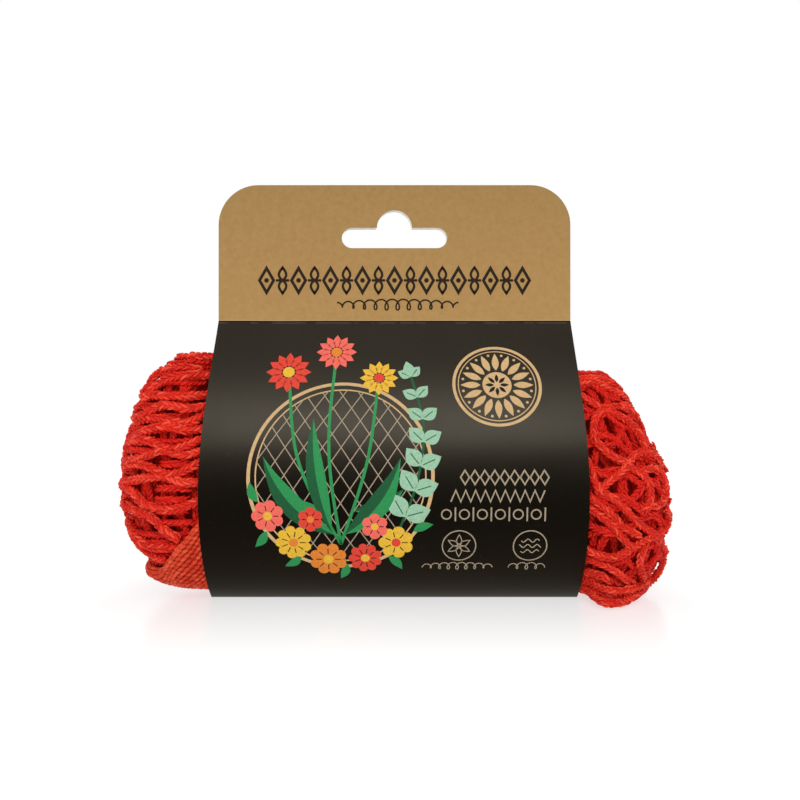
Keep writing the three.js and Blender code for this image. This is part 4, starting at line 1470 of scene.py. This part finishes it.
def strap_knit(material):
    """Ribs of slanting grains side by side, parallel to the strap's upper edge."""
    yarn = lobe_yarn(LEFT_LOBE).seeded(5)
    along = np.linspace(0, 1, STRAP_STATIONS)
    width = run_length(strap_point(along[:, None], np.linspace(0, 1, 12), 0))[:, -1]
    # Each rib is [its number from the upper edge, depth, 1 if it faces out and -1 if it faces in].
    middle = (STRAP_BASE_DEPTH + STRAP_THICKNESS) / 2
    ribs = [(rib + 0.5, RIB_DEPTH, 1) for rib in range(int(width.max() / RIB_PITCH))]
    ribs += [(rib + 0.5, STRAP_THICKNESS, -1) for rib in range(LIP_RIBS)]
    ribs += [(0, middle - RIM_SPREAD, 1), (0, middle + RIM_SPREAD, -1)]
    for rib, depth, face in ribs:
        across = np.minimum(rib * RIB_PITCH / width, RIB_LIMIT)
        path, places = even_path(strap_point(along, across, depth), RIB_SPACING)
        top = yarn.facing(path) * face
        onward, aside, _ = directions(path, top)
        grains = round(places[-1] / GRAIN_PITCH)
        shift = yarn.rng.normal(0, 1, (2, grains, 1))
        number = np.arange(grains)[:, None] + 0.5 + 0.5 * (int(rib) % 2)
        place = number * places[-1] / grains + (GRAIN[:, 0] + GRAIN_JITTER[0] * shift[0]) * GRAIN_LENGTH
        slant = GRAIN[:, 1] * GRAIN_SLANT + GRAIN_JITTER[1] * shift[1]
        rise, radii = (np.broadcast_to(GRAIN[:, i] * GRAIN_RADIUS, place.shape) for i in (2, 3))
        yarn.add_stitches(places, (path, onward, aside, top), place, slant, rise, radii, GRAIN_SIDES)
    return yarn.piece("strap_knit", material)


def strap_base(material):
    """The closed ground of the knit, which shows between the columns of stitches."""
    along, across = np.linspace(0, 1, STRAP_STATIONS)[:, None], np.linspace(0, 1, 24)
    outer, inner = (strap_point(along, across, depth) for depth in (STRAP_BASE_DEPTH, STRAP_THICKNESS))
    points, faces, _ = slab(outer, inner)
    base = mesh_object("strap_base", points, faces, [material])
    seal(base)
    return base


# ---------- stage, lights and camera ----------

# The camera is level. Its focal length is in pixels of the 800-pixel photograph.
PHOTO_SIZE = 800
FOCAL_PIXELS = 606
CAMERA_PLACE = (1.72, -190.0, 59.4)
SENSOR_WIDTH = 36.0
CLIP_METRES = (0.005, 50)

# The floor's gloss and glow near the object and far from it; its lower glow near the object is a painted
# contact shadow. A second glow grows over a longer way.
FLOOR_HALF_SIZE = 4000.0
FLOOR_HALF_LENGTH = 80.0
FLOOR_FADE = 42.0
FLOOR_GLOSS = (0.85, 0.0)
FLOOR_GLOW_PAINTED_SHADOW = (0.625, 0.83)
FAR_GLOW = (0.0, 0.16)
FAR_FADE = 500.0

# Brightness of the studio by the sine of the height that one looks at, on the photographer's side.
STUDIO_FRONT = [
    (-1.0, 0.28), (-0.92, 0.18), (-0.75, 0.07), (-0.5, 0.0), (0.05, 0.01), (0.35, 0.20), (0.6, 0.30),
    (1.0, 0.24),
]
STUDIO_WARMTH = (1.0, 0.84, 0.66)
STUDIO_BACK = (0.85, 0.85, 0.85)

# Softboxes: elevation and azimuth in degrees, distance, size, radiance and whether gloss mirrors it.
SOFTBOXES = dict(
    softbox_front=(39, 0, 600, (640, 218), 3.0, True),
    softbox_top=(56, 0, 700, (700, 420), 1.25, False),
    softbox_fill=(14, 0, 800, (900, 500), 0.45, False),
)
SOFTBOX_AIM = Vector((0, 0, 50))


def camera():
    data = bpy.data.cameras.new("camera")
    data.sensor_width = SENSOR_WIDTH
    data.lens = SENSOR_WIDTH * FOCAL_PIXELS / PHOTO_SIZE
    data.clip_start, data.clip_end = CLIP_METRES
    eye = in_scene("camera", data)
    eye.location = Vector(CAMERA_PLACE) * MM
    eye.rotation_euler = (math.pi / 2, 0, 0)
    bpy.context.scene.camera = eye


def floor():
    """A white sweep that glows. Close to the object its glow is lower, a painted contact shadow, and it has
    a gloss; both fade away from it. The object's own gloss mirrors the studio alone."""
    paint = new_paint("stage_white")
    place = paint.split(paint.place["Object"])

    def squared_distance(axis, half):
        beyond = paint.math("SUBTRACT", paint.math("ABSOLUTE", place[axis]), half * MM)
        return paint.math("POWER", paint.math("MAXIMUM", beyond, 0.0), 2.0)

    away = paint.math("SQRT", paint.plus(squared_distance("X", FLOOR_HALF_LENGTH),
                                         squared_distance("Y", BASE_HALF_DEPTH)))
    # Painted contact shadow: the floor glows less close to the object.
    glow_with_painted_shadow = paint.fade(away, 0, FLOOR_FADE, *FLOOR_GLOW_PAINTED_SHADOW)
    material = paint.finish({
        "Base Color": (0.26, 0.26, 0.26),
        "Roughness": 0.26,
        "Specular IOR Level": paint.fade(away, 0, FLOOR_FADE, *FLOOR_GLOSS),
        "Emission Color": WHITE,
        "Emission Strength": paint.plus(glow_with_painted_shadow, paint.fade(away, 0, FAR_FADE, *FAR_GLOW)),
    })
    corners = np.array([(-1, -1, 0), (1, -1, 0), (1, 1, 0), (-1, 1, 0)]) * FLOOR_HALF_SIZE
    piece = mesh_object("stage_floor", corners, [[0, 1, 2, 3]], [material])
    piece.visible_glossy = False


def world():
    """A pale studio: bright above and behind the object, dim on the photographer's side."""
    studio = bpy.data.worlds.new("studio")
    bpy.context.scene.world = studio
    paint = Paint(studio)
    direction = paint.split(paint.place["Generated"])
    level = paint.math("MULTIPLY_ADD", direction["Z"], 0.5, 0.5)
    front = paint.ramp(level, [
        ((sine + 1) / 2, tuple(light * part for part in STUDIO_WARMTH)) for sine, light in STUDIO_FRONT
    ])
    behind = paint.ramp(direction["Y"], [(0.0, BLACK), (0.35, WHITE)])
    light = paint.blend(behind, front, STUDIO_BACK)
    seen = paint.add("LightPath").outputs["Is Camera Ray"]
    background = {"Color": paint.blend(seen, light, WHITE), "Strength": 1.0}
    paint.feed(paint.tree.nodes["Background"], background)


def softbox(name, elevation, azimuth, distance, size, radiance, mirrored):
    """An area light that faces the object."""
    data = bpy.data.lights.new(name, "AREA")
    data.shape = "RECTANGLE"
    data.size, data.size_y = (side * MM for side in size)
    data.energy = radiance * math.pi * data.size * data.size_y
    rise, turn = math.radians(elevation), math.radians(azimuth)
    away = Vector((math.sin(turn) * math.cos(rise), -math.cos(turn) * math.cos(rise), math.sin(rise)))
    lamp = in_scene(name, data)
    lamp.location = (SOFTBOX_AIM + away * distance) * MM
    lamp.rotation_euler = away.to_track_quat("Z", "Y").to_euler()
    lamp.visible_glossy = mirrored


# ---------- the object ----------

# Linear tones of the cotton: shade, base and light. The deeper layers, the packed core and the strap's
# ground are darker copies of the same yarn: painted shade.
COTTON = {
    "cotton_net": [(0.61, 0.005, 0.001), (0.82, 0.013, 0.002), (0.95, 0.090, 0.044)],
    "cotton_net_painted_shade": [(0.56, 0.004, 0.001), (0.74, 0.007, 0.001), (0.85, 0.026, 0.010)],
    "cotton_net_core_painted_shade": [(0.42, 0.004, 0.001), (0.54, 0.006, 0.001), (0.66, 0.012, 0.003)],
    "cotton_strap": [(0.58, 0.024, 0.005), (0.72, 0.050, 0.014), (0.84, 0.105, 0.040)],
    "cotton_strap_painted_shade": [(0.50, 0.016, 0.003), (0.62, 0.024, 0.006), (0.74, 0.040, 0.012)],
}


def place_pieces(pieces, node):
    """Puts pieces on the one body, in place of a node of the CAD model."""
    for piece in pieces:
        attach(piece, "root")
        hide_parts(node)


camera()
floor()
world()
for name, settings in SOFTBOXES.items():
    softbox(name, *settings)

card_inner = plain_card_material("card_inner", (0.74, 0.70, 0.60), (0.90, 0.87, 0.78), 900)
card_cut_edge = plain_card_material("card_cut_edge", (0.50, 0.45, 0.38), (0.66, 0.61, 0.53), 3000)
sleeve = card_sleeve([card_material(), card_inner, card_cut_edge])
place_pieces([sleeve, *card_print()], "card_sleeve")

cottons = [cotton_material(name, *tones) for name, tones in COTTON.items()]
# The darker cottons are painted shade for the deeper layers, the core, the sleeve's mouths and the strap's
# ground.
net, net_painted_shade, core_net_painted_shade, strap, strap_painted_shade = cottons
place_pieces([
    left_outer_cords(net), left_filler_cords(net_painted_shade), right_filler_cords(net_painted_shade), right_outer_cords(net),
    inner_cords("net_left_inner", LEFT_LOBE, net_painted_shade), net_core("net_left_core", LEFT_LOBE, core_net_painted_shade),
    inner_cords("net_right_inner", RIGHT_LOBE, net_painted_shade), net_core("net_right_core", RIGHT_LOBE, core_net_painted_shade),
    net_middle(core_net_painted_shade), mouth_cords(net_painted_shade),
], "net_bundle")
place_pieces([strap_knit(strap), strap_base(strap_painted_shade)], "handle_strap")

bpy.context.scene.view_settings.view_transform = "Standard"
